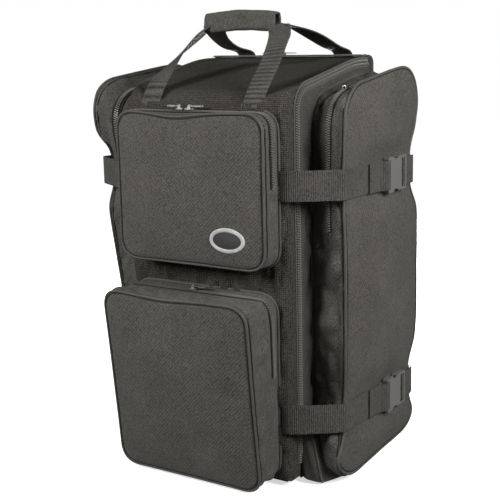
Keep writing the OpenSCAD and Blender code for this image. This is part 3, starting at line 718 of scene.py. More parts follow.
FINISHES = (
    Cloth(
        "panel_nylon", (0.0055, 0.0050, 0.0040), (0.0780, 0.0720, 0.0620), Pattern.BASKET, 0.0032, 0.0009,
        rough=0.90, sheen=0.0, gloss=0.05,
    ),
    Cloth("pocket_twill", (0.0110, 0.0101, 0.0083), (0.1130, 0.1060, 0.0935), Pattern.TWILL, 0.0032, 0.0009),
    Cloth("gusset_nylon", (0.0100, 0.0092, 0.0075), (0.0720, 0.0670, 0.0590), Pattern.BASKET, 0.0026, 0.0005),
    Cloth("binding", (0.0215, 0.0202, 0.0176), (0.1080, 0.1022, 0.0929), Pattern.BASKET, 0.0016, 0.0002, 0.55),
    Cloth("zip_tape", (0.0200, 0.0190, 0.0168), (0.1150, 0.1095, 0.1000), Pattern.BASKET, 0.0016, 0.0002),
    Cloth("strap_webbing", (0.0030, 0.0027, 0.0022), (0.1060, 0.0994, 0.0884), Pattern.RIBS, 0.0036, 0.0019, 0.60),
    Cloth("seam_shadow", (0.0040, 0.0037, 0.0030), (0.0240, 0.0224, 0.0196), Pattern.BASKET, 0.0016, 0.0002, 0.85),
    # The coils' pale second colour lands on the teeth's edges as painted glints.
    Hard("coil_nylon", (0.038, 0.0355, 0.0304), (0.128, 0.1216, 0.1088), 0.34),
    Hard("buckle_acetal", (0.046, 0.0442, 0.0415), (0.115, 0.1115, 0.1065), 0.46, 0.0, 1400.0),
    Hard("housing_plastic", (0.010, 0.010, 0.010), (0.045, 0.045, 0.045), 0.5),
    Hard("hub_plastic", (0.060, 0.060, 0.060), (0.130, 0.130, 0.130), 0.42),
    Hard("tyre_rubber", (0.008, 0.008, 0.008), (0.040, 0.039, 0.038), 0.72, 0.0, 500.0, 0.0002),
    Hard("slider_plate", (0.070, 0.069, 0.066), (0.300, 0.296, 0.288), 0.42, 1.0, 600.0),
    Hard("tube_aluminium", (0.420, 0.420, 0.425), (0.680, 0.680, 0.685), 0.32, 1.0, 300.0),
    Hard("axle_steel", (0.300, 0.300, 0.305), (0.560, 0.560, 0.560), 0.30, 1.0, 300.0),
    Hard("patch_rim", (0.240, 0.238, 0.235), (0.440, 0.436, 0.430), 0.5),
    Hard("patch_field", (0.014, 0.014, 0.0135), (0.050, 0.049, 0.048), 0.6),
)


@dataclass
class Wardrobe:
    """All finishes of the bag, by name."""

    mats: Dict[str, Mat] = field(default_factory=dict)

    def sew(self) -> None:
        """Builds every finish."""
        groups = {
            "twill": weave_group(Pattern.TWILL),
            "basket": weave_group(Pattern.BASKET),
            "ribs": rib_group(),
            "grain": grain_group(),
        }
        for finish in FINISHES:
            self.mats[finish.name] = finish.make(groups)

    def put(self, obj: Obj, finish: str, body: str, slot: str, *nodes: str) -> Obj:
        """Gives a piece its finish and body, and hides the CAD nodes it stands for.

        Args:
            obj: The piece.
            finish: Name of the finish.
            body: The body it rides on.
            slot: The record's material slot; not used.
            nodes: The CAD nodes that it stands for.

        Returns:
            The same object.
        """
        obj.data.materials.clear()
        obj.data.materials.append(self.mats[finish])
        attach(obj, body)
        if nodes:
            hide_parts(*nodes)
        LOG.info("%s rides on %s", obj.name, body)
        return obj


# Soft goods


@dataclass
class Drape:
    """Settles the bag's soft pieces together, each held along its seams."""

    frames: int = 24
    waiting: List[Tuple[Obj, Array, float]] = field(default_factory=list)

    def hang(self, obj: Obj, pins: Array, ease: Array, spare: float, push: float, cap: float, bend: float) -> None:
        """Gives a piece its cloth.

        Args:
            obj: The piece.
            pins: A share from 0 to 1 for each point, 1 where it is held.
            ease: A share from 0 to 1 for each point, 1 where the cloth has all its spare size.
            spare: The cloth's spare size, as a share.
            push: Pressure from within.
            cap: The furthest that a point may move.
            bend: Stiffness against folding.
        """
        for name, weights in (("pins", pins), ("ease", ease)):
            made = obj.vertex_groups.new(name=name)
            for k, w in enumerate(weights):
                if w > 0:
                    made.add([k], float(w), "REPLACE")
        rest = points_of(obj)
        mod = obj.modifiers.new("Cloth", "CLOTH")
        s = mod.settings
        s.quality = 5
        s.mass = 0.35
        s.tension_stiffness = s.compression_stiffness = 25
        s.shear_stiffness = 8
        s.bending_stiffness = bend
        s.use_pressure = True
        s.uniform_pressure_force = push
        s.vertex_group_mass = "pins"
        s.pin_stiffness = 1.0
        s.vertex_group_shrink = "ease"
        s.shrink_min, s.shrink_max = 0.0, -spare
        s.effector_weights.gravity = 0.15
        mod.collision_settings.use_collision = False
        mod.point_cache.frame_start, mod.point_cache.frame_end = 1, self.frames
        self.waiting.append((obj, rest, cap))

    def settle(self) -> None:
        """Runs the cloth, keeps its shape and limits how far it moved."""
        scene = bpy.context.scene
        for frame in range(1, self.frames + 1):
            scene.frame_set(frame)
        for obj, rest, cap in self.waiting:
            activate(obj)
            bpy.ops.object.modifier_apply(modifier="Cloth")
            shift = points_of(obj) - rest
            far = np.linalg.norm(shift, axis=1, keepdims=True)
            settled = rest + shift * np.minimum(1, cap / np.maximum(far, 1e-9))
            settled[:, 2] = np.maximum(settled[:, 2], SETTLE_FLOOR)
            move_points(obj, settled)
            obj.vertex_groups.clear()
            LOG.info("%s settled, moved at most %.1f mm", obj.name, 1000 * float(far.max()))
        scene.frame_set(1)


def round_face(a: Array, b: Array, half: Tuple[float, float], r: float) -> Tuple[Array, Array]:
    """Places a square grid on a rectangle with round corners.

    Args:
        a: Place across, from -1 to 1.
        b: Place up, from -1 to 1.
        half: Half the rectangle's width and height.
        r: Radius of its corners.

    Returns:
        The places across and up.
    """
    ring = np.maximum(np.maximum(np.abs(a), np.abs(b)), 1e-9)
    w, h = half
    on_side = np.abs(a) >= np.abs(b)
    t = np.where(on_side, b, a) / ring
    straight = np.where(on_side, h - r, w - r)
    arc = r * math.pi / 4
    run = np.abs(t) * (straight + arc)
    bend = np.clip((run - straight) / r, 0, math.pi / 4)
    along = np.minimum(run, straight) + r * np.sin(bend)
    out = np.where(on_side, w, h) - r * (1 - np.cos(bend))
    along = along * np.sign(t)
    x = np.where(on_side, out * np.sign(a), along)
    y = np.where(on_side, along, out * np.sign(b))
    return x * ring, y * ring


@dataclass
class Puff:
    """A pocket: a face with a seam round it and a gusset behind, held at the gusset's far edge.

    Its rings of points run from the seam (0) to the far edge.
    """

    name: str
    place: Callable[[Array, Array, Array], Array]
    half: Tuple[float, float]
    corner: float
    depth: float
    cell: float = 0.007
    spare_face: float = 0.3
    spare: float = 0.03
    push: float = 3.0
    cap: float = 0.016
    bend: float = 6.0
    facing: int = 1
    fold: float = 0.0085
    dent: float = 0.0035
    grain: Triple = (0.038, 0.038, 0.060)
    obj: Optional[Obj] = None
    rings: List[Array] = field(default_factory=list)
    flat: Optional[Array] = None
    edge: Optional[Array] = None
    below: Optional[Array] = None

    def cut_out(self, drape: Drape) -> None:
        """Makes the pocket's mesh and hangs it up."""
        nu, nv = (max(6, int(2 * h / self.cell)) for h in self.half)

        def face(u: Array, v: Array) -> Array:
            """The face, flat at depth 0."""
            x, y = round_face(2 * u - 1, 2 * v - 1, self.half, self.corner)
            return np.stack([x, y, np.zeros_like(x)], axis=1)

        obj = lay_grid(self.name, nu, nv, face)
        steps = max(3, int(round(self.depth / self.cell)))
        count = len(obj.data.vertices)
        activate(obj)
        bpy.ops.object.mode_set(mode="EDIT")
        select_open_edges()
        for _ in range(steps):
            bpy.ops.mesh.extrude_region_move(TRANSFORM_OT_translate={"value": (0, 0, -self.depth / steps)})
        bpy.ops.object.mode_set(mode="OBJECT")
        flat = points_of(in_order(obj))
        level = np.rint(-flat[:, 2] / (self.depth / steps)).astype(int)
        rim = {(round(x, 5), round(y, 5)) for x, y in flat[count:, :2]}
        on_rim = np.array([(round(x, 5), round(y, 5)) in rim for x, y in flat[:, :2]])
        for k in range(steps + 1):
            ids = np.nonzero(on_rim & (level == k))[0]
            self.rings.append(ids[np.argsort(np.arctan2(flat[ids, 1], flat[ids, 0]))])
        self.flat = flat
        self.obj = move_points(obj, self.place(flat[:, 0], flat[:, 1], -flat[:, 2]))
        edit(self.obj, bpy.ops.mesh.normals_make_consistent)
        pins = np.zeros(len(flat))
        pins[self.rings[-1]] = 1.0
        pins[self.rings[-2]] = 0.5
        pins[self.rings[0]] = 0.55
        ease = np.where(level > 0, 1.0, self.spare_face)
        drape.hang(self.obj, pins, ease, self.spare, self.push, self.cap, self.bend)

    def seam(self, ring: int) -> Array:
        """The settled line of a ring, evened out."""
        return smooth_ring(points_of(self.obj)[self.rings[ring]], 2)

    def strip(self, depth: float, width: float, lift: float, keep: Callable[[Array], Array]) -> Array:
        """A strip of the gusset round the pocket.

        Args:
            depth: Distance of its middle from the seam.
            width: Its width.
            lift: Its height above the gusset.
            keep: Says which of the rim's flat points it covers.

        Returns:
            A table of points, rows along the strip and columns across it.
        """
        co, out = points_of(self.obj), normals_of(self.obj)
        rows = np.stack([co[r] for r in self.rings])
        away = np.stack([out[r] for r in self.rings])
        rim = self.flat[self.rings[0]][:, :2]
        ids = np.nonzero(keep(rim))[0]
        gap = np.nonzero(np.diff(ids) > 1)[0]
        if len(gap):
            ids = np.concatenate([ids[gap[0] + 1 :], ids[: gap[0] + 1]])
        at = (depth + np.linspace(-0.5, 0.5, 7) * width) / self.depth * (len(self.rings) - 1)
        low = np.clip(np.floor(at).astype(int), 0, len(self.rings) - 2)
        share = (at - low)[:, None, None]
        line = rows[low] * (1 - share) + rows[low + 1] * share
        line = line + lift * (away[low] * (1 - share) + away[low + 1] * share)
        table = line[:, ids].transpose(1, 0, 2)
        for _ in range(2):
            table[1:-1] = 0.25 * table[:-2] + 0.5 * table[1:-1] + 0.25 * table[2:]
        return table

    def trim(self, name: str, radius: float) -> Tuple[Obj, Obj]:
        """Lays the piping on the finished pocket's seam, and a dark line of painted shade on each side of it, standing
        for the crevice beside the piping.

        Args:
            name: The pocket's name.
            radius: Half the piping's thickness.

        Returns:
            The piping and the lines of painted shade.
        """
        line = smooth_ring(on_cloth(self.obj, self.edge, radius * 0.55), 1)
        inward = unit(self.edge.mean(axis=0) - self.edge)
        # Thin dark tubes, one on the face and one on the gusset: painted shade of the crevice on each side of the
        # piping.
        beside = [self.edge + inward * (radius + 0.0030), self.below]
        lines = [tube("line", smooth_ring(on_cloth(self.obj, k, 0.0), 2), SHADE_LINE_R, True, 6) for k in beside]
        return tube(name + "_piping", line, radius, True, 10), join(name + "_seam_shade_lines", lines)

    def finish(self, seams: Sequence[Array], free: Array) -> Obj:
        """Refines the settled pocket.

        Args:
            seams: Lines along which its cloth is drawn in.
            free: Lines, such as a zip's, that its folds stay clear of.

        Returns:
            The pocket.
        """
        self.edge = self.seam(0)
        self.below = self.strip(0.0062, 0.002, 0.0, lambda rim: np.ones(len(rim), bool))[:, 3]
        modify(self.obj, "SUBSURF", levels=1, render_levels=1)
        co, out = points_of(self.obj), normals_of(self.obj)
        near = gap_to(np.vstack(seams), co)
        facing = np.abs(out[:, self.facing])
        hold = np.clip((near - 0.003) / 0.010, 0, 1) * np.clip((gap_to(free, co) - 0.004) / 0.010, 0, 1)
        ruffle(self.obj, self.fold, self.grain, 3.7, hold * np.clip(1.1 - 1.3 * facing, 0, 1))
        ruffle(self.obj, self.dent, (0.12, 0.12, 0.12), 8.1, np.clip(near / 0.04, 0, 1) * facing)
        co, out = points_of(self.obj), normals_of(self.obj)
        co = co - out * (0.0022 * np.exp(-((near / 0.0055) ** 2)))[:, None]
        co[:, 2] = np.maximum(co[:, 2], FINISH_FLOOR)
        move_points(self.obj, co)
        return smooth(self.obj, 60)

    def sew(
        self,
        wear: Wardrobe,
        body: str,
        names: Sequence[str],
        strip: Array,
        radius: float,
        nodes: Sequence[Sequence[str]],
    ) -> None:
        """Sews on the zip, the piping and the dark lines of painted shade beside it, and dresses them.

        Args:
            wear: The finishes.
            body: The body that the pocket rides on.
            names: Names of its zip, its rear seam and the pocket itself.
            strip: The zip tape's points.
            radius: Half the piping's thickness.
            nodes: The CAD nodes that the cloth, the piping and the tape stand for.
        """
        zip_name, seam_name, name = names
        line, far = self.seam(0), self.seam(-1)
        tape, coils = ZipRow(zip_name).lay(strip, COIL_ROWS)
        rear = tube(seam_name, far, SEAM_R, True)
        self.finish((line, far), strip.reshape(-1, 3))
        pipe, painted_shade_lines = self.trim(name, radius)
        wear.put(self.obj, "pocket_twill", body, "pocket_fabric", *nodes[0])
        wear.put(pipe, "binding", body, "piping", *nodes[1])
        # Dark lines beside the piping: painted shade of the seam's crevice.
        wear.put(painted_shade_lines, "seam_shadow", body, "piping")
        wear.put(tape, "seam_shadow", body, "zip_tape", *nodes[2])
        wear.put(coils, "coil_nylon", body, "zip_tape")
        wear.put(rear, "binding", body, "piping")


@dataclass
class ZipRow:
    """A zip on a strip: its tape, and one or two rows of coils."""

    name: str
    tooth: Triple = (0.0021, 0.0046, 0.0026)
    pitch: float = 0.0040

    def lay(self, table: Array, rows: Sequence[float]) -> Tuple[Obj, Obj]:
        """Lays the tape and its coils.

        Args:
            table: The tape's points, rows along it.
            rows: Distance of each row of coils from the tape's middle.

        Returns:
            The tape and the coils.
        """
        tape = lay_table(self.name + "_tape", table)
        middle = table.mean(axis=(0, 1))
        face_outwards(tape, middle)
        across = unit(table[:, -1] - table[:, 0])
        line = table[:, table.shape[1] // 2]
        modify(tape, "SOLIDIFY", thickness=0.0009, offset=1)
        frames = [
            turned_out(m, m.translation - Vector(middle), 0.0005)
            for k, shift in enumerate(rows)
            for m in frames_along(line, across, self.pitch, shift, 0.5 * k)
        ]
        coils = repeat(self.name + "_coils", block(self.tooth, 0.0005), frames)
        return smooth(tape), coils


# The bag's parts


@dataclass
class Bag:
    """Sizes and lines of the main bag that its parts share, with the front panel at y."""

    front: float
    half_w: float = 0.165
    depth: float = 0.305
    height: float = 0.714
    front_h: float = 0.670
    front_r: float = 0.040
    crown: float = 0.232
    crown_r: float = 0.330
    base: float = 0.008
    zip_y: float = 0.034
    zip_r: float = 0.038
    zip_drop: float = 0.010
    zip_rear: float = 0.280
    side_face: float = 0.240
    middle: Triple = (0.0, 0.03, 0.35)

    def front_lines(self) -> Tuple[Array, Array]:
        """The flap's outer profile and its zip line, point for point."""
        low, end = self.base + 0.005, self.zip_rear - 0.0005
        rise = (self.height - self.front_h) / self.crown
        outer = rounded(
            [(0, low), (0, self.front_h), (self.crown, self.height), (end, self.height)],
            [0, self.front_r, self.crown_r, 0],
            8,
        )
        corner = self.front_h + rise * self.zip_y - self.zip_drop
        top = self.height - self.zip_drop
        inner = rounded(
            [(self.zip_y, low), (self.zip_y, corner), (self.crown, top), (end, top)],
            [0, self.zip_r, self.crown_r, 0],
            8,
        )
        counts = spread(outer, 0.0075)
        return cut(outer, counts), cut(inner, counts)

    def lift(self, line: Array) -> Array:
        """A profile's points in the frame, at x 0."""
        return np.stack([np.zeros(len(line)), line[:, 0] + self.front, line[:, 1]], axis=1)


def wrap_profile(outer: Array, inner: Array, half_w: float, corner: float, cell: float) -> Array:
    """A panel along a profile, with its edges turned in at both sides.

    Args:
        outer: The profile, in the frame at x 0.
        inner: The line that the turned edges reach, point for point.
        half_w: Half the panel's width.
        corner: Radius of its long edges.
        cell: Size of the panel's faces.

    Returns:
        A table of points, rows along the profile.
    """
    reach = np.linalg.norm(inner - outer, axis=1)
    down = unit(inner - outer)
    bends = np.linspace(0, math.pi / 2, 6)
    flat = np.linspace(-1, 1, max(4, int(2 * half_w / cell)) + 1)[1:-1]
    rows = []
    for k in range(len(outer)):
        r = min(corner, reach[k] * 0.5)
        side = np.linspace(reach[k], r, 6)[:-1]
        x = np.concatenate([np.full(5, half_w), half_w - r + r * np.cos(bends)])
        d = np.concatenate([side, r - r * np.sin(bends)])
        x = np.concatenate([-x, flat * (half_w - r), x[::-1]])
        d = np.concatenate([d, np.zeros(len(flat)), d[::-1]])
        rows.append(outer[k] + np.stack([x, d * down[k][1], d * down[k][2]], axis=1))
    return np.array(rows)


@dataclass
class Flap:
    """The front and top panel, which folds down at its bottom edge."""

    bag: Bag
    wear: Wardrobe
    obj: Optional[Obj] = None

    def cut_out(self, drape: Drape, covered: Sequence[Tuple[float, float, float, float]]) -> None:
        """Makes the panel and hangs it up, held at its zip and behind the pockets.

        Args:
            drape: What settles it.
            covered: Left, right, bottom and top of each pocket sewn on it.
        """
        outer, inner = (self.bag.lift(line) for line in self.bag.front_lines())
        table = wrap_profile(outer, inner, self.bag.half_w, corner=0.024, cell=0.0075)
        self.obj = face_outwards(lay_table("flap_panel_cloth", table), self.bag.middle)
        co = points_of(self.obj)
        pins = np.zeros(len(co))
        edge = np.abs(co[:, 0]) > self.bag.half_w - 0.001
        near_zip = edge & (co[:, 1] > self.bag.front + 0.03)
        pins[near_zip] = 0.8
        pins[co[:, 1] > self.bag.front + self.bag.zip_rear - 0.006] = 1.0
        pins[co[:, 2] < self.bag.base + 0.012] = 1.0
        for left, right, bottom, top in covered:
            inside = (co[:, 0] > left) & (co[:, 0] < right) & (co[:, 2] > bottom) & (co[:, 2] < top)
            pins[inside & (co[:, 1] < self.bag.front + 0.01)] = 1.0
        drape.hang(self.obj, pins, np.ones(len(co)), spare=0.034, push=1.2, cap=0.010, bend=2.0)

    def dress(self) -> None:
        """Finishes the panel, its fold and its half of the main zip."""
        modify(self.obj, "SUBSURF", levels=1, render_levels=1)
        co, b = points_of(self.obj), self.bag
        open_by = np.clip((b.front + b.zip_rear - 0.01 - co[:, 1]) / 0.04, 0, 1)
        open_by = open_by * np.clip((co[:, 2] - b.base - 0.01) / 0.03, 0, 1)
        away = np.clip((b.front + b.zip_y - 0.010 - co[:, 1]) / 0.012, 0, 1) + (np.abs(co[:, 0]) < b.half_w - 0.02)
        level = np.clip(1 - 1.2 * np.abs(normals_of(self.obj)[:, 2]), 0.12, 1)
        ruffle(self.obj, 0.0085, (0.032, 0.050, 0.070), 6.3, open_by * np.clip(away, 0, 1) * level)
        modify(self.obj, "SOLIDIFY", thickness=0.0035, offset=-1)
        smooth(self.obj, 50)
        self.wear.put(self.obj, "panel_nylon", "flap", "shell_fabric", "flap_panel")
        y, z = self.bag.front + 0.0055, self.bag.base + 0.005
        line = np.array([[x, y, z] for x in np.linspace(-0.157, 0.157, 40)])
        self.wear.put(tube("flap_fold_sleeve", line, 0.0045, False, 12), "gusset_nylon", "flap", "shell_fabric")
        lay_main_zip(b, self.wear, -1, "flap", "flap_zip")


def lay_main_zip(bag: Bag, wear: Wardrobe, way: int, body: str, node: str) -> None:
    """Lays one half of the main zip: up one side, over the top's rear edge and down the other side.

    Args:
        bag: The bag's lines.
        wear: The finishes.
        way: -1 for the flap's half, 1 for the shell's.
        body: The body it rides on.
        node: The CAD node it stands for.
    """
    line = bag.lift(bag.front_lines()[1])
    line = line[line[:, 2] > bag.base + 0.022]
    travel = tangents(line)
    inward = np.stack([np.zeros(len(line)), -travel[:, 2], travel[:, 1]], axis=1)
    x = np.linspace(-bag.half_w, bag.half_w, 60)
    rear = np.stack([x, np.full_like(x, bag.front + bag.zip_rear), np.full_like(x, bag.height + MAIN_ZIP_LIFT)], axis=1)
    reach = bag.half_w + MAIN_ZIP_LIFT
    runs = [(line + np.array([side * reach, 0, 0]), inward * -way, (side, 0, 0)) for side in (-1, 1)]
    runs.append((rear, np.tile([0.0, float(way), 0.0], (len(rear), 1)), (0, 0, 1)))
    tapes, beds, coils = [], [], []
    for path, away, out in runs:
        tapes.append(half_tape(path, away, out, start=0.0052, width=0.0092))
        beds.append(half_tape(path, away, out, start=0.0003, width=0.0053))
        coils.append(half_coil(path, away, out, 0.5 + way / 4))
    wear.put(join(body + "_zip_tapes", tapes), "zip_tape", body, "zip_tape", node)
    wear.put(join(body + "_zip_beds", beds), "seam_shadow", body, "zip_tape")
    wear.put(join(body + "_zip_coils", coils), "coil_nylon", body, "zip_tape")


def half_tape(path: Array, away: Array, out: Sequence[float], start: float, width: float) -> Obj:
    """A part of one half of a zip's tape, beside its line."""
    at = np.linspace(start, width, 4)
    table = path[:, None] + at[None, :, None] * away[:, None]
    obj = lay_table("tape", table)
    if (normals_of(obj) @ np.array(out, float)).mean() < 0:
        edit(obj, bpy.ops.mesh.flip_normals)
    return smooth(modify(obj, "SOLIDIFY", thickness=0.0008, offset=1))


def half_coil(path: Array, away: Array, out: Sequence[float], start: float) -> Obj:
    """One row of coils beside a zip's line."""
    places = frames_along(path, away, pitch=0.0042, shift=0.0028, start=start)
    frames = [turned_out(m, Vector(out), 0.0006) for m in places]
    return repeat("coil", block((0.0022, 0.0052, 0.0024), 0.0006), frames)


@dataclass
class Shell:
    """The part of the bag that stays when the flap opens: bottom, back, top edge and sides."""

    bag: Bag
    wear: Wardrobe
    wheel_x: float = 0.130
    well_half: float = 0.0195
    well_front: float = 0.247
    well_top: float = 0.088

    def build(self) -> None:
        """Makes the panels and dresses them."""
        b = self.bag
        outer = rounded(
            [(0.0105, b.base), (b.depth, b.base), (b.depth, b.height), (b.zip_rear + 0.0005, b.height)],
            [0, 0.022, 0.014, 0],
            8,
        )
        inner = rounded(
            [(0.0105, b.base + 0.014), (b.depth - 0.014, b.base + 0.014), (b.depth - 0.014, b.height - 0.010),
             (b.zip_rear + 0.0005, b.height - 0.010)],
            [0, 0.010, 0.004, 0],
            8,
        )
        counts = spread(outer, 0.009)
        edge = b.lift(cut(outer, counts))
        table = wrap_profile(edge, b.lift(cut(inner, counts)), b.half_w, corner=0.009, cell=0.009)
        spine = face_outwards(lay_table("shell_back_and_base", table), b.middle)
        self.open_wells(spine)
        co = points_of(spine)
        hold = np.clip((b.half_w - np.abs(co[:, 0])) / 0.03, 0, 1) * (co[:, 2] > 0.1)
        hold = hold * np.clip((b.height - 0.015 - co[:, 2]) / 0.03, 0, 1)
        ruffle(spine, height=0.0025, scale=(0.12, 0.12, 0.16), seed=3.0, hold=hold)
        modify(spine, "SOLIDIFY", thickness=0.0035, offset=-1)
        smooth(spine, 50)
        self.wear.put(spine, "panel_nylon", "bag", "shell_fabric", "main_shell")
        sides = join("shell_sides", [self.side(-1), self.side(1)])
        self.wear.put(sides, "gusset_nylon", "bag", "shell_fabric")
        edge = edge[(edge[:, 1] > b.front + 0.03) & ~((edge[:, 1] > b.front + 0.24) & (edge[:, 2] < 0.09))]
        parts = [tube("edge", edge + np.array([s * (b.half_w - 0.002), 0, 0]), 0.0026, False) for s in (-1, 1)]
        self.wear.put(join("shell_edge_binding", parts), "binding", "bag", "piping")
        lay_main_zip(b, self.wear, 1, "bag", "body_zip")
        cord = np.array([[x, b.front + 0.0055, b.base + 0.005] for x in np.linspace(-0.164, 0.164, 60)])
        self.wear.put(tube("fold_line_cord", cord, 0.0024, False, 10), "binding", "bag", "cord", "fold_cord")

    def open_wells(self, obj: Obj) -> None:
        """Cuts the panels away where the wheel housings sit."""
        activate(obj)
        bpy.ops.object.mode_set(mode="EDIT")
        bpy.ops.mesh.select_mode(type="FACE")
        bpy.ops.mesh.select_all(action="DESELECT")
        bpy.ops.object.mode_set(mode="OBJECT")
        for p in obj.data.polygons:
            c = p.center
            p.select = (
                abs(abs(c.x) - self.wheel_x) < self.well_half
                and c.y > self.bag.front + self.well_front
                and c.z < self.well_top
            )
        bpy.ops.object.mode_set(mode="EDIT")
        bpy.ops.mesh.delete(type="FACE")
        bpy.ops.object.mode_set(mode="OBJECT")

    def side(self, side: int) -> Obj:
        """One side panel, up to the zip."""
        b = self.bag
        _, inner = b.front_lines()
        climb = inner[inner[:, 0] > b.zip_y + 1e-6]

        def place(u: Array, v: Array) -> Array:
            """The panel, which starts at the zip's line at each height."""
            rear = b.depth - 0.008
            y = b.zip_y + 0.0005 + u * (rear - b.zip_y)
            top = np.interp(y, np.concatenate([[b.zip_y], climb[:, 0]]), np.concatenate([[climb[0, 1]], climb[:, 1]]))
            top = np.where(y > b.zip_rear, b.height - 0.008, top - 0.0005)
            z = b.base + 0.004 + v * (top - b.base - 0.004)
            return np.stack([np.full_like(y, side * (b.half_w - 0.0004)), b.front + y, z], axis=1)

        obj = face_outwards(lay_grid("side", 36, 84, place, (0.26, 0.67)), b.middle)
        y, z = points_of(obj)[:, 1:].T
        hold = np.clip((y - b.front - b.zip_y - 0.010) / 0.020, 0, 1) * np.clip((z - 0.10) / 0.03, 0, 1)
        clear = np.min([np.abs(z - k) for k in STRAP_Z], axis=0)
        hold = hold * np.clip((clear - 0.028) / 0.02, 0, 1) * np.clip((b.height - 0.03 - z) / 0.03, 0, 1)
        ruffle(obj, height=0.009, scale=(0.05, 0.035, 0.06), seed=2.6, hold=hold)
        return smooth(modify(obj, "SOLIDIFY", thickness=0.0032, offset=-1))


@dataclass
class BaseCorner:
    """The full lower corner of one side, a spare fold of cloth between the main zip and the side pocket."""

    bag: Bag
    wear: Wardrobe
    side: int
    top: float = 0.128
    reach: float = 0.066

    def build(self) -> None:
        """Makes the fold and the seam along its long edge."""
        b = self.bag

        def place(u: Array, v: Array) -> Array:
            """Runs from the zip (u 0) to the side pocket (u 1), wider towards the floor."""
            low = (1 - v) ** 1.15
            x = b.half_w + u * (0.004 + self.reach * low)
            y = b.zip_y + 0.004 + 0.046 * u**2 - 0.016 * np.sin(math.pi * u) * low
            y = y - 0.0025 * np.sin(13 * u + 4 * v) * low
            z = 0.012 - 0.006 * np.sin(math.pi * np.clip(u, 0, 1)) + v * (self.top - 0.012)
            return np.stack([self.side * x, b.front + y, z], axis=1)

        word = side_word(self.side)
        obj = face_outwards(lay_grid("base_corner_" + word, 16, 26, place, (0.07, 0.12)), (0, b.front + 0.2, 0.06))
        v = np.linspace(0, 1, 30)
        seam = place(np.full_like(v, 0.60), v) - np.array([0, 0.0012, 0])
        modify(obj, "SOLIDIFY", thickness=0.0030, offset=-1)
        modify(obj, "SUBSURF", levels=1, render_levels=1)
        smooth(obj, 50)
        self.wear.put(obj, "gusset_nylon", "bag", "shell_fabric")
        self.wear.put(tube("base_corner_seam_" + word, seam, SEAM_R, False), "binding", "bag", "piping")


@dataclass
class FrontPocket:
    """A pocket on the flap, with piping round its face and a zip on its gusset."""

    bag: Bag
    wear: Wardrobe
    key: str
    slider: str
    x: float
    z: float
    half: Tuple[float, float]
    depth: float
    lean: float
    zip_at: float
    zip_low: float
    sag: float
    rise: float = 0.0
    room: float = 0.0050
    puff: Optional[Puff] = None

    def cut_out(self, drape: Drape) -> None:
        """Makes the pocket and hangs it up."""

        def place(a: Array, b: Array, d: Array) -> Array:
            """Stands the pocket on the panel, deeper at its top, with its top seam sagging."""
            share = np.clip(0.5 + b / (2 * self.half[1]), 0, 1)
            deep = self.depth - self.lean * (1 - share)
            y = self.bag.front - deep * (1 - d / self.depth)
            droop = self.sag * np.exp(-(((a + 0.025) / 0.055) ** 2)) * share**6 * np.clip(1 - d / 0.016, 0, 1)
            raised = self.rise * (d / self.depth) ** 2 * (1 - share) ** 10
            return np.stack([self.x + a, y, self.z + b - droop + raised], axis=1)

        self.puff = Puff(
            self.key + "_pocket_cloth", place, self.half, corner=0.030, depth=self.depth,
            spare_face=0.18, spare=0.075, bend=2.0,
        )
        self.puff.cut_out(drape)

    def make_room(self) -> None:
        """Keeps the cloth under the zip clear of its slider's run."""
        low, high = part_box(self.slider)
        co = points_of(self.puff.obj)
        share = np.clip(1.6 - np.abs(co[:, 1] - (low.y + high.y) / 2) / 0.010, 0, 1)
        co[:, 2] -= share * np.maximum(0, co[:, 2] - (low.z - self.room))
        move_points(self.puff.obj, co)

    def dress(self) -> None:
        """Sews on the piping, the zip and the dark lines of painted shade beside the piping."""
        self.make_room()
        depth = self.depth - self.zip_at
        strip = self.puff.strip(depth, TAPE_W, TAPE_LIFT, lambda rim: rim[:, 1] > self.zip_low - self.z)
        name = self.key + "_pocket"
        nodes = [(name,), (self.key + "_piping",), (self.key + "_zip",)]
        self.puff.sew(self.wear, "flap", (name + "_zip", name + "_seam", name), strip, 0.0023, nodes)


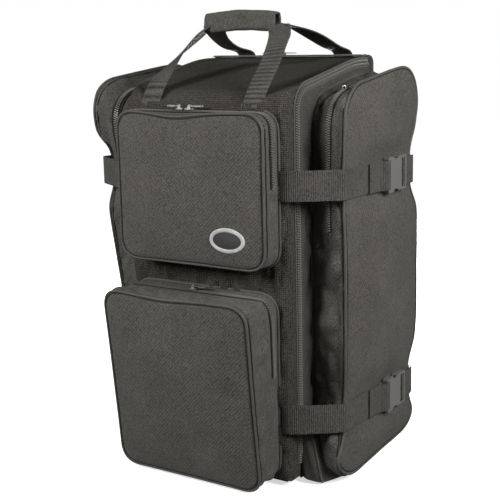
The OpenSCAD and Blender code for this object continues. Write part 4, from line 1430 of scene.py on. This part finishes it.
@dataclass
class SidePocket:
    """A tall pocket on one side of the bag, with piping round its face and a zip on its gusset."""

    bag: Bag
    wear: Wardrobe
    side: int
    front: float = 0.060
    deep: float = 0.242
    low: float = 0.016
    front_h: float = 0.654
    back_h: float = 0.692
    thick: float = 0.075
    zip_x: float = 0.043
    zip_end: float = 0.443
    flare: float = 0.0
    forward: float = 0.0
    raised: float = 0.018
    puff: Optional[Puff] = None

    def cut_out(self, drape: Drape) -> None:
        """Makes the pocket and hangs it up."""
        b = self.bag
        tall = (self.front_h + self.back_h) / 2 - self.low
        slope = (self.back_h - self.front_h) / self.deep

        def place(a: Array, up: Array, d: Array) -> Array:
            """Stands the pocket on the bag's side, fuller at its outer seam and drawn in by the straps."""
            share = np.clip(up / tall + 0.5, 0, 1)
            outer = 1 - d / self.thick
            level = self.low + tall / 2 + up
            drawn = sum(np.exp(-(((level - z) / 0.060) ** 2)) for z in STRAP_Z)
            rear = np.clip(0.5 + a / self.deep, 0, 1)
            lean = np.clip((level - 0.29) / 0.37, 0, 1)
            y = b.front + self.front + self.deep / 2 + a + outer * rear**2 * (0.034 - 0.018 * drawn)
            y = y - outer * (1 - rear) ** 2 * 0.030 * np.exp(-(((level - 0.055) / 0.055) ** 2))
            y = y - outer * (1 - rear) ** 2 * self.forward * lean + (1 - outer) ** 2 * (1 - rear) ** 2 * 0.020
            z = level + slope * a * share + np.clip(1 - d / 0.024, 0, 1) * self.raised * share**8 * (1 - rear**8)
            droop = 0.014 * 4 * outer * (1 - outer) * (1 - rear) ** 3
            z = z + (outer * (0.024 * rear - 0.010) - droop) * (1 - share) ** 6
            x = b.half_w + self.thick - d + outer * (self.flare * lean * (1 - 0.8 * rear) - 0.004 * drawn)
            return np.stack([self.side * x, y, z], axis=1)

        self.puff = Puff(
            "side_pocket_cloth_" + side_word(self.side),
            place,
            (self.deep / 2, tall / 2),
            corner=0.050,
            depth=self.thick,
            cell=0.0085,
            spare_face=0.3,
            spare=0.060,
            push=3.2,
            bend=2.5,
            facing=0,
            fold=0.0125,
        )
        self.puff.cut_out(drape)

    def slack(self, y: Array) -> Array:
        """How far the strap stands off the pocket's plain face at a depth."""
        return 0.61 * self.flare * np.clip(1 - (y - self.front) / 0.10, 0, 1)

    def tie_down(self) -> None:
        """Draws the settled pocket in under its two straps."""
        b, co = self.bag, points_of(self.puff.obj)
        x, y, z = co[:, 0] * self.side, co[:, 1] - b.front, co[:, 2]
        far = np.min([np.abs(z - k) for k in STRAP_Z], axis=0)
        tight = 1 - np.clip((far - 0.027) / 0.045, 0, 1)
        tight = tight * tight * (3 - 2 * tight)
        x = x - tight * np.maximum(0, x - (b.side_face + self.slack(y) * (z > UPPER) - 0.0006))
        band = 0.0030 + (x - 0.168) / 0.067 * 0.050
        y = y + tight * np.maximum(0, band + 0.004 - y) * (x > b.half_w + 0.004)
        y = y - tight * np.maximum(0, y - (self.front + self.deep + 0.0012)) * 0.9
        move_points(self.puff.obj, np.stack([x * self.side, y + b.front, z], axis=1))

    def dress(self) -> None:
        """Sews on the piping and the zip."""
        self.tie_down()
        word, shared = side_word(self.side), self.side > 0
        middle = self.low + ((self.front_h + self.back_h) / 2 - self.low) / 2
        strip = self.puff.strip(
            self.thick - self.zip_x,
            TAPE_W,
            TAPE_LIFT,
            lambda rim: (rim[:, 1] > self.zip_end - middle) & (rim[:, 0] < self.deep / 2 - 0.02),
        )
        names = ("side_pocket_zip_" + word, "side_pocket_seam_" + word, word + "_side_pocket")
        nodes = (("side_pocket_" + word,), ("side_piping",) if shared else (), ("side_zips",) if shared else ())
        self.puff.sew(self.wear, "bag", names, strip, 0.0024, nodes)


@dataclass
class Straps:
    """The four compression straps: a front half on the flap and a rear half on the bag."""

    bag: Bag
    wear: Wardrobe
    width: float = 0.050
    thick: float = 0.0018
    mouth: float = 0.236
    slot: float = 0.196
    pocket_front: float = 0.060
    pocket_rear: float = 0.302

    def band(self, name: str, plan: Sequence[Tuple[float, float]], side: int, z: float) -> Obj:
        """A band of webbing that stands on edge along a plan view."""
        line = np.array([[side * x, self.bag.front + y, z] for x, y in plan])
        path = resample(relax(line), 0.004)
        return ribbon(name, path, np.tile([0.0, 0.0, 1.0], (len(path), 1)), self.width, self.thick)

    def build(self) -> None:
        """Makes and dresses all bands."""
        f = self.bag.side_face
        inner, outer, back = f + 0.0013, f + 0.0148, f + 0.0050
        front_parts, rear_parts = [], []
        for side in (-1, 1):
            for z in STRAP_Z:
                ease = 0.0262 if side < 0 and z > UPPER else 0.0
                front = [
                    (0.151, -0.0012), (0.160, -0.0012), (0.168, 0.0005),
                    (inner - 0.006 + ease, self.pocket_front - 0.010), (inner + ease, self.pocket_front - 0.002),
                    (inner + 0.6 * ease, 0.100), (inner, 0.160), (inner, self.slot - 0.006),
                    (inner, self.slot), (outer, self.slot), (outer, self.slot - 0.010),
                    (back, self.slot - 0.026), (back, self.slot - 0.060),
                ]
                front_parts.append(self.band("front", front, side, z))
                rear = [
                    (f + 0.0009, self.mouth + 0.001), (f + 0.0009, self.pocket_rear),
                    (f - 0.001, self.pocket_rear + 0.0035),
                    (f - 0.012, self.pocket_rear + 0.0042), (f - 0.030, self.pocket_rear + 0.0042),
                ]
                rear_parts.append(self.band("rear", rear, side, z))
                self.tail(side_word(side) + ("_high" if z > UPPER else "_low"), side, z)
        self.wear.put(join("strap_fronts", front_parts), "strap_webbing", "flap", "webbing", "straps_front")
        self.wear.put(join("strap_rears", rear_parts), "strap_webbing", "bag", "webbing", "straps_rear")

    def tail(self, word: str, side: int, z: float) -> None:
        """The webbing threaded through a plug's ladder, with its loose end."""
        f = self.bag.side_face
        y = self.mouth
        plan = [
            (f + 0.0032, y + 0.034), (f + 0.0032, y + 0.022), (f + 0.008, y + 0.0185), (f + 0.0138, y + 0.0165),
            (f + 0.0138, y + 0.012), (f + 0.009, y + 0.0095), (f + 0.0060, y + 0.0105), (f + 0.0062, y + 0.018),
            (f + 0.0085, y + 0.030), (f + 0.0085, y + 0.052), (f + 0.0045, y + 0.068),
        ]
        band = self.band("strap_tail_" + word, plan, side, z)
        self.wear.put(band, "strap_webbing", "plug_" + word, "webbing")


@dataclass
class CarryHandle:
    """Two loops of webbing, held together by a padded wrap."""

    bag: Bag
    wear: Wardrobe
    width: float = 0.038
    thick: float = 0.0024
    leg_x: float = 0.105
    grip_len: float = 0.148
    grip_x: float = -0.006
    grip_y: float = 0.140
    grip_z: float = 0.778

    def leg(self, name: str, line: Sequence[Triple], across: Sequence[Triple]) -> Obj:
        """One leg of webbing through these points, turning between these directions."""
        path = np.array(line) + np.array([0, self.bag.front, 0])
        both = resample(relax(np.hstack([path, np.array(across, float)])), 0.004)
        return ribbon(name, both[:, :3], unit(both[:, 3:]), self.width, self.thick, crown=0.0006)

    def build(self) -> None:
        """Makes and dresses the webbing and the wrap."""
        gy, gz, leg = self.grip_y, self.grip_z, self.leg_x
        flat = [(1, 0, 0)]
        right = [
            (leg, -0.0014, 0.638), (leg, 0.001, 0.649), (leg, 0.009, 0.662), (0.104, 0.022, 0.676),
            (0.101, 0.062, 0.712), (0.093, 0.098, 0.744), (0.083, 0.122, gz - 0.022), (0.070, gy - 0.002, gz - 0.006),
        ]
        left = [
            (-leg, -0.0014, 0.638), (-leg, 0.001, 0.649), (-leg, 0.009, 0.662), (-0.107, 0.030, 0.684),
            (-0.109, 0.060, 0.702), (-0.102, 0.094, 0.730), (-0.092, 0.122, gz - 0.026), (-0.078, gy, gz - 0.010),
        ]
        turn = flat * 6 + [(1, 0.1, -0.1), (1, 0.2, -0.3)]
        twist = flat * 4 + [(0.95, -0.25, 0.2), (0.8, -0.45, 0.45), (0.7, -0.5, 0.55), (0.8, -0.3, 0.5)]
        front = [self.leg("front", right, turn), self.leg("front", left, twist)]
        rear = []
        for s in (-1, 1):
            line = [
                (s * leg, 0.3062, 0.656), (s * leg, 0.3062, 0.710), (s * leg, 0.300, 0.722), (s * leg, 0.284, 0.727),
                (s * 0.108, 0.252, 0.732), (s * 0.104, 0.212, 0.748), (s * 0.092, 0.180, gz - 0.016),
                (s * 0.072, gy + 0.008, gz - 0.004),
            ]
            turn = flat * 5 + [(1, 0.1 * s, 0), (0.95, 0.3 * s, -0.2 * s), (0.9, 0.3 * s, -0.3 * s)]
            rear.append(self.leg("rear", line, turn))
        self.wear.put(join("handle_webbing_front", front), "strap_webbing", "flap", "webbing", "front_handle_web")
        self.wear.put(join("handle_webbing_rear", rear), "strap_webbing", "bag", "webbing", "rear_handle_web")
        self.wrap()

    def wrap(self) -> None:
        """The padded wrap, a sheet folded over the webbing and closed along its front."""
        turn = np.linspace(0, 2 * math.pi, 49)
        stations = np.linspace(-1, 1, 45)
        table = np.zeros((len(stations), len(turn), 3))
        for i, s in enumerate(stations):
            half_d = 0.0128 - 0.0012 * abs(s) ** 6
            half_h = 0.0172 - 0.0010 * abs(s) ** 6
            for j, t in enumerate(turn):
                c, w = math.cos(t), math.sin(t)
                lap = 0.0016 / (1 + math.exp(-(t - 1.22 * math.pi) / 0.03)) * (1 - max(0, (t - 1.8 * math.pi) / 0.63))
                y = (half_d + lap) * math.copysign(abs(c) ** 0.5, c)
                z = (half_h + lap) * math.copysign(abs(w) ** 0.6, w)
                z += 0.0040 * (1 - s * s)
                table[i, j] = (self.grip_x + s * self.grip_len / 2, self.bag.front + self.grip_y - y, self.grip_z + z)
        obj = lay_table("handle_wrap", table)
        edit(obj, lambda: bpy.ops.mesh.remove_doubles(threshold=0.0001))
        edit(obj, bpy.ops.mesh.normals_make_consistent)
        ruffle(obj, height=0.0018, scale=(0.050, 0.020, 0.020), seed=9.0)
        modify(obj, "SOLIDIFY", thickness=0.0042, offset=-1)
        modify(obj, "SUBSURF", levels=1, render_levels=1)
        smooth(obj, 50)
        self.wear.put(obj, "pocket_twill", "flap", "grip_fabric", "handle_grip")


@dataclass
class Patch:
    """The bare oval on the upper pocket: a pale rim round a dark field."""

    bag: Bag
    wear: Wardrobe
    x: float = 0.082
    z: float = 0.429
    half: Tuple[float, float] = (0.034, 0.021)
    rim: float = 0.0065

    def build(self, face_y: Callable[[float, float], float]) -> None:
        """Makes the rim and the field, on the pocket's face.

        Args:
            face_y: Gives the face's depth at a place.
        """
        turn = np.linspace(0, 2 * math.pi, 65)[:-1]

        def ring(a: float, b: float, lift: float) -> Array:
            """An oval, lifted off the face."""
            rows = []
            for t in turn:
                x, z = self.x + a * math.cos(t), self.z + b * math.sin(t)
                rows.append((x, face_y(x, z) - lift, z))
            return np.array(rows)

        a, b = self.half
        r = self.rim
        rim = [
            ring(a, b, -0.001), ring(a, b, 0.0008), ring(a - 0.001, b - 0.001, 0.0018),
            ring(a - r + 0.001, b - r + 0.001, 0.0018), ring(a - r, b - r, 0.0010), ring(a - r, b - r, -0.001),
        ]
        inside = [
            ring((a - r) * k + 0.0003, (b - r) * k + 0.0003, 0.0009 + 0.0005 * (1 - k)) for k in np.linspace(1, 0, 7)
        ]
        for name, rows, nodes in (("patch_rim", rim, ("badge",)), ("patch_field", inside, ())):
            obj = lay_table(name, np.stack([np.vstack([k, k[:1]]) for k in rows]))
            edit(obj, lambda: bpy.ops.mesh.remove_doubles(threshold=0.00005))
            face_outwards(obj, (self.x, 0.2, self.z))
            self.wear.put(smooth(obj), name, "flap", "patch", *nodes)


@dataclass
class TrolleyCover:
    """The cloth over the trolley's tubes on the bag's back."""

    wear: Wardrobe

    def build(self) -> None:
        """Makes the cover, slack between the tubes."""
        low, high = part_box("trolley_cover")
        plan = rounded(
            [(low.x, low.y - 0.001), (low.x, high.y), (high.x, high.y), (high.x, low.y - 0.001)],
            [0, 0.007, 0.007, 0],
            5,
        )
        plan = cut(plan, spread(plan, 0.006))
        rows = []
        for z in np.linspace(low.z - 0.002, high.z + 0.002, 70):
            share = (z - low.z) / (high.z - low.z)
            slack = 0.005 * (1 - (2 * share - 1) ** 4)
            dip = slack * (np.exp(-((plan[:, 0] / 0.032) ** 2)) * (plan[:, 1] > high.y - 0.001))
            rows.append(np.stack([plan[:, 0], plan[:, 1] - dip, np.full(len(plan), z)], axis=1))
        obj = face_outwards(lay_table("trolley_cover_cloth", np.array(rows)), (0, 0, 0.33))
        ruffle(obj, height=0.0014, scale=(0.05, 0.05, 0.12), seed=5.0)
        modify(obj, "SOLIDIFY", thickness=0.0012, offset=-1)
        self.wear.put(smooth(obj), "gusset_nylon", "bag", "cover_fabric", "trolley_cover")


HARDWARE = {
    "buckle_acetal": ("buckle_sockets", "plug_left_high", "plug_left_low", "plug_right_high", "plug_right_low"),
    "housing_plastic": (
        "wheel_housing_left", "wheel_housing_right", "trolley_bracket", "trolley_bezel", "trolley_grip",
        "back_board", "base_board",
    ),
    "hub_plastic": ("hub_left", "hub_right", "trolley_button"),
    "tyre_rubber": ("tyre_left", "tyre_right", "front_feet"),
    "axle_steel": ("wheel_axles", "lock_rods"),
    "tube_aluminium": ("trolley_outer_tubes", "trolley_inner_tubes"),
    "slider_plate": tuple(
        k + n
        for n in ("upper_left", "upper_right", "lower", "side_left", "side_right", "main_left", "main_right")
        for k in ("slider_", "pull_")
    ),
}


def dress_hardware(nodes: Dict[str, Obj], wear: Wardrobe) -> None:
    """Gives each hard CAD node its finish."""
    for finish, names in HARDWARE.items():
        for name in names:
            nodes[name].data.materials.clear()
            nodes[name].data.materials.append(wear.mats[finish])
            LOG.info("%s wears %s", name, finish)


@dataclass
class Studio:
    """The camera, the floor and the lights."""

    eye: Triple = (1.0683, -1.5841, 0.7577)
    azimuth: float = 33.66
    pitch: float = 11.30
    roll: float = -1.26
    lens_px: float = 1082.0

    def camera(self) -> None:
        """Sets up the camera at the photograph's angle."""
        data = bpy.data.cameras.new("camera")
        data.sensor_width = 36.0
        data.lens = 36.0 * self.lens_px / 500.0
        cam = bpy.data.objects.new("camera", data)
        bpy.context.scene.collection.objects.link(cam)
        cam.location = self.eye
        turn = Matrix.Rotation(math.radians(self.azimuth), 4, "Z")
        tip = Matrix.Rotation(math.radians(90 - self.pitch), 4, "X")
        spin = Matrix.Rotation(math.radians(self.roll), 4, "Z")
        cam.rotation_euler = (turn @ tip @ spin).to_euler()
        bpy.context.scene.camera = cam

    def light(self) -> None:
        """Sets up soft studio light and a white surround."""
        scene = bpy.context.scene
        scene.view_settings.view_transform = "Standard"
        world = bpy.data.worlds.new("studio")
        world.use_nodes = True
        scene.world = world
        n = Nodes(world.node_tree)
        path = n.add("LightPath")
        seen = n.math("MAXIMUM", path.outputs["Is Camera Ray"], path.outputs["Is Transmission Ray"])
        strength = n.math("MULTIPLY_ADD", seen, 0.980, 0.020)
        back = n.add("Background", {"Color": (1, 1, 1, 1), "Strength": strength})
        n.add("OutputWorld", {0: back.outputs[0]})
        self.lamp("front", (-0.85, -1.85, 1.40), (0, 0, 0.48), size=0.8, power=58)
        self.lamp("side", (1.65, -0.25, 1.22), (0, 0, 0.50), size=0.8, power=45)
        self.lamp("rear", (-1.0, 2.3, 0.58), (0, 0, 0.36), size=0.9, power=70)

    def lamp(self, name: str, at: Sequence[float], aim: Sequence[float], size: float, power: float) -> None:
        """Adds one soft box."""
        data = bpy.data.lights.new(name, "AREA")
        data.shape, data.size, data.energy = "SQUARE", size, power
        obj = bpy.data.objects.new(name, data)
        bpy.context.scene.collection.objects.link(obj)
        obj.location = at
        obj.rotation_euler = (Vector(aim) - Vector(at)).to_track_quat("-Z", "Y").to_euler()

    def floor(self) -> None:
        """Lays a pale floor."""
        deselect()
        bpy.ops.mesh.primitive_grid_add(x_subdivisions=8, y_subdivisions=8, size=14)
        obj = bpy.context.object
        obj.name = "floor"
        mat, n = new_material("floor")
        shade = n.add("BsdfPrincipled", {"Base Color": (0.8, 0.8, 0.8, 1), "Roughness": 0.9})
        dim = n.add("BsdfDiffuse", {"Color": (0.22, 0.22, 0.22, 1)})
        where = n.add("TexCoord")
        far = n.add("VectorMath", {0: where.outputs["Object"]}, operation="LENGTH").outputs["Value"]
        level = n.add("MapRange", {0: far, 1: 0.35, 2: 1.0, 3: 0.62, 4: 1.0}).outputs[0]
        glow = n.add("Emission", {"Color": (1, 1, 1, 1), "Strength": level})
        path = n.add("LightPath")
        both = n.add("AddShader", {0: shade.outputs[0], 1: glow.outputs[0]})
        mix = n.add("MixShader", {0: path.outputs["Is Camera Ray"], 1: dim.outputs[0], 2: both.outputs[0]})
        n.add("OutputMaterial", {0: mix.outputs[0]})
        obj.data.materials.append(mat)


def main() -> None:
    """Builds the bag's parts in order."""
    logging.basicConfig(level=logging.INFO, format="%(message)s")
    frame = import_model()
    studio = Studio()
    studio.camera()
    wear = Wardrobe()
    wear.sew()
    bag = Bag(front=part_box("flap_panel")[0].y)
    drape = Drape()
    upper = FrontPocket(
        bag, wear, "upper", "slider_upper_left", x=0.002, z=0.5085, half=(0.150, 0.1285), depth=0.044, lean=0.0,
        zip_at=0.022, zip_low=0.515, sag=0.008,
    )
    lower = FrontPocket(
        bag, wear, "lower", "slider_lower", x=-0.003, z=0.1705, half=(0.149, 0.1645), depth=0.096, lean=0.036,
        zip_at=0.024, zip_low=0.200, sag=0.004, rise=0.014,
    )
    flap = Flap(bag, wear)
    left, right = SidePocket(bag, wear, -1, flare=0.042, forward=0.018, raised=0.024), SidePocket(bag, wear, 1)
    soft = (upper, lower, left, right)
    for piece in soft:
        piece.cut_out(drape)
    flap.cut_out(drape, covered=[(-0.138, 0.138, 0.395, 0.628), (-0.136, 0.136, 0.016, 0.324)])
    drape.settle()
    for piece in soft:
        piece.dress()
    flap.dress()
    Shell(bag, wear).build()
    for side in (-1, 1):
        BaseCorner(bag, wear, side).build()
    Straps(bag, wear).build()
    CarryHandle(bag, wear).build()
    co = points_of(upper.puff.obj)
    face = co[co[:, 1] < bag.front - 0.030]
    Patch(bag, wear).build(
        lambda x, z: float(face[np.argmin((face[:, 0] - x) ** 2 + (face[:, 2] - z) ** 2), 1])
    )
    TrolleyCover(wear).build()
    dress_hardware(frame["nodes"], wear)
    studio.light()
    studio.floor()


if __name__ == "__main__":
    main()
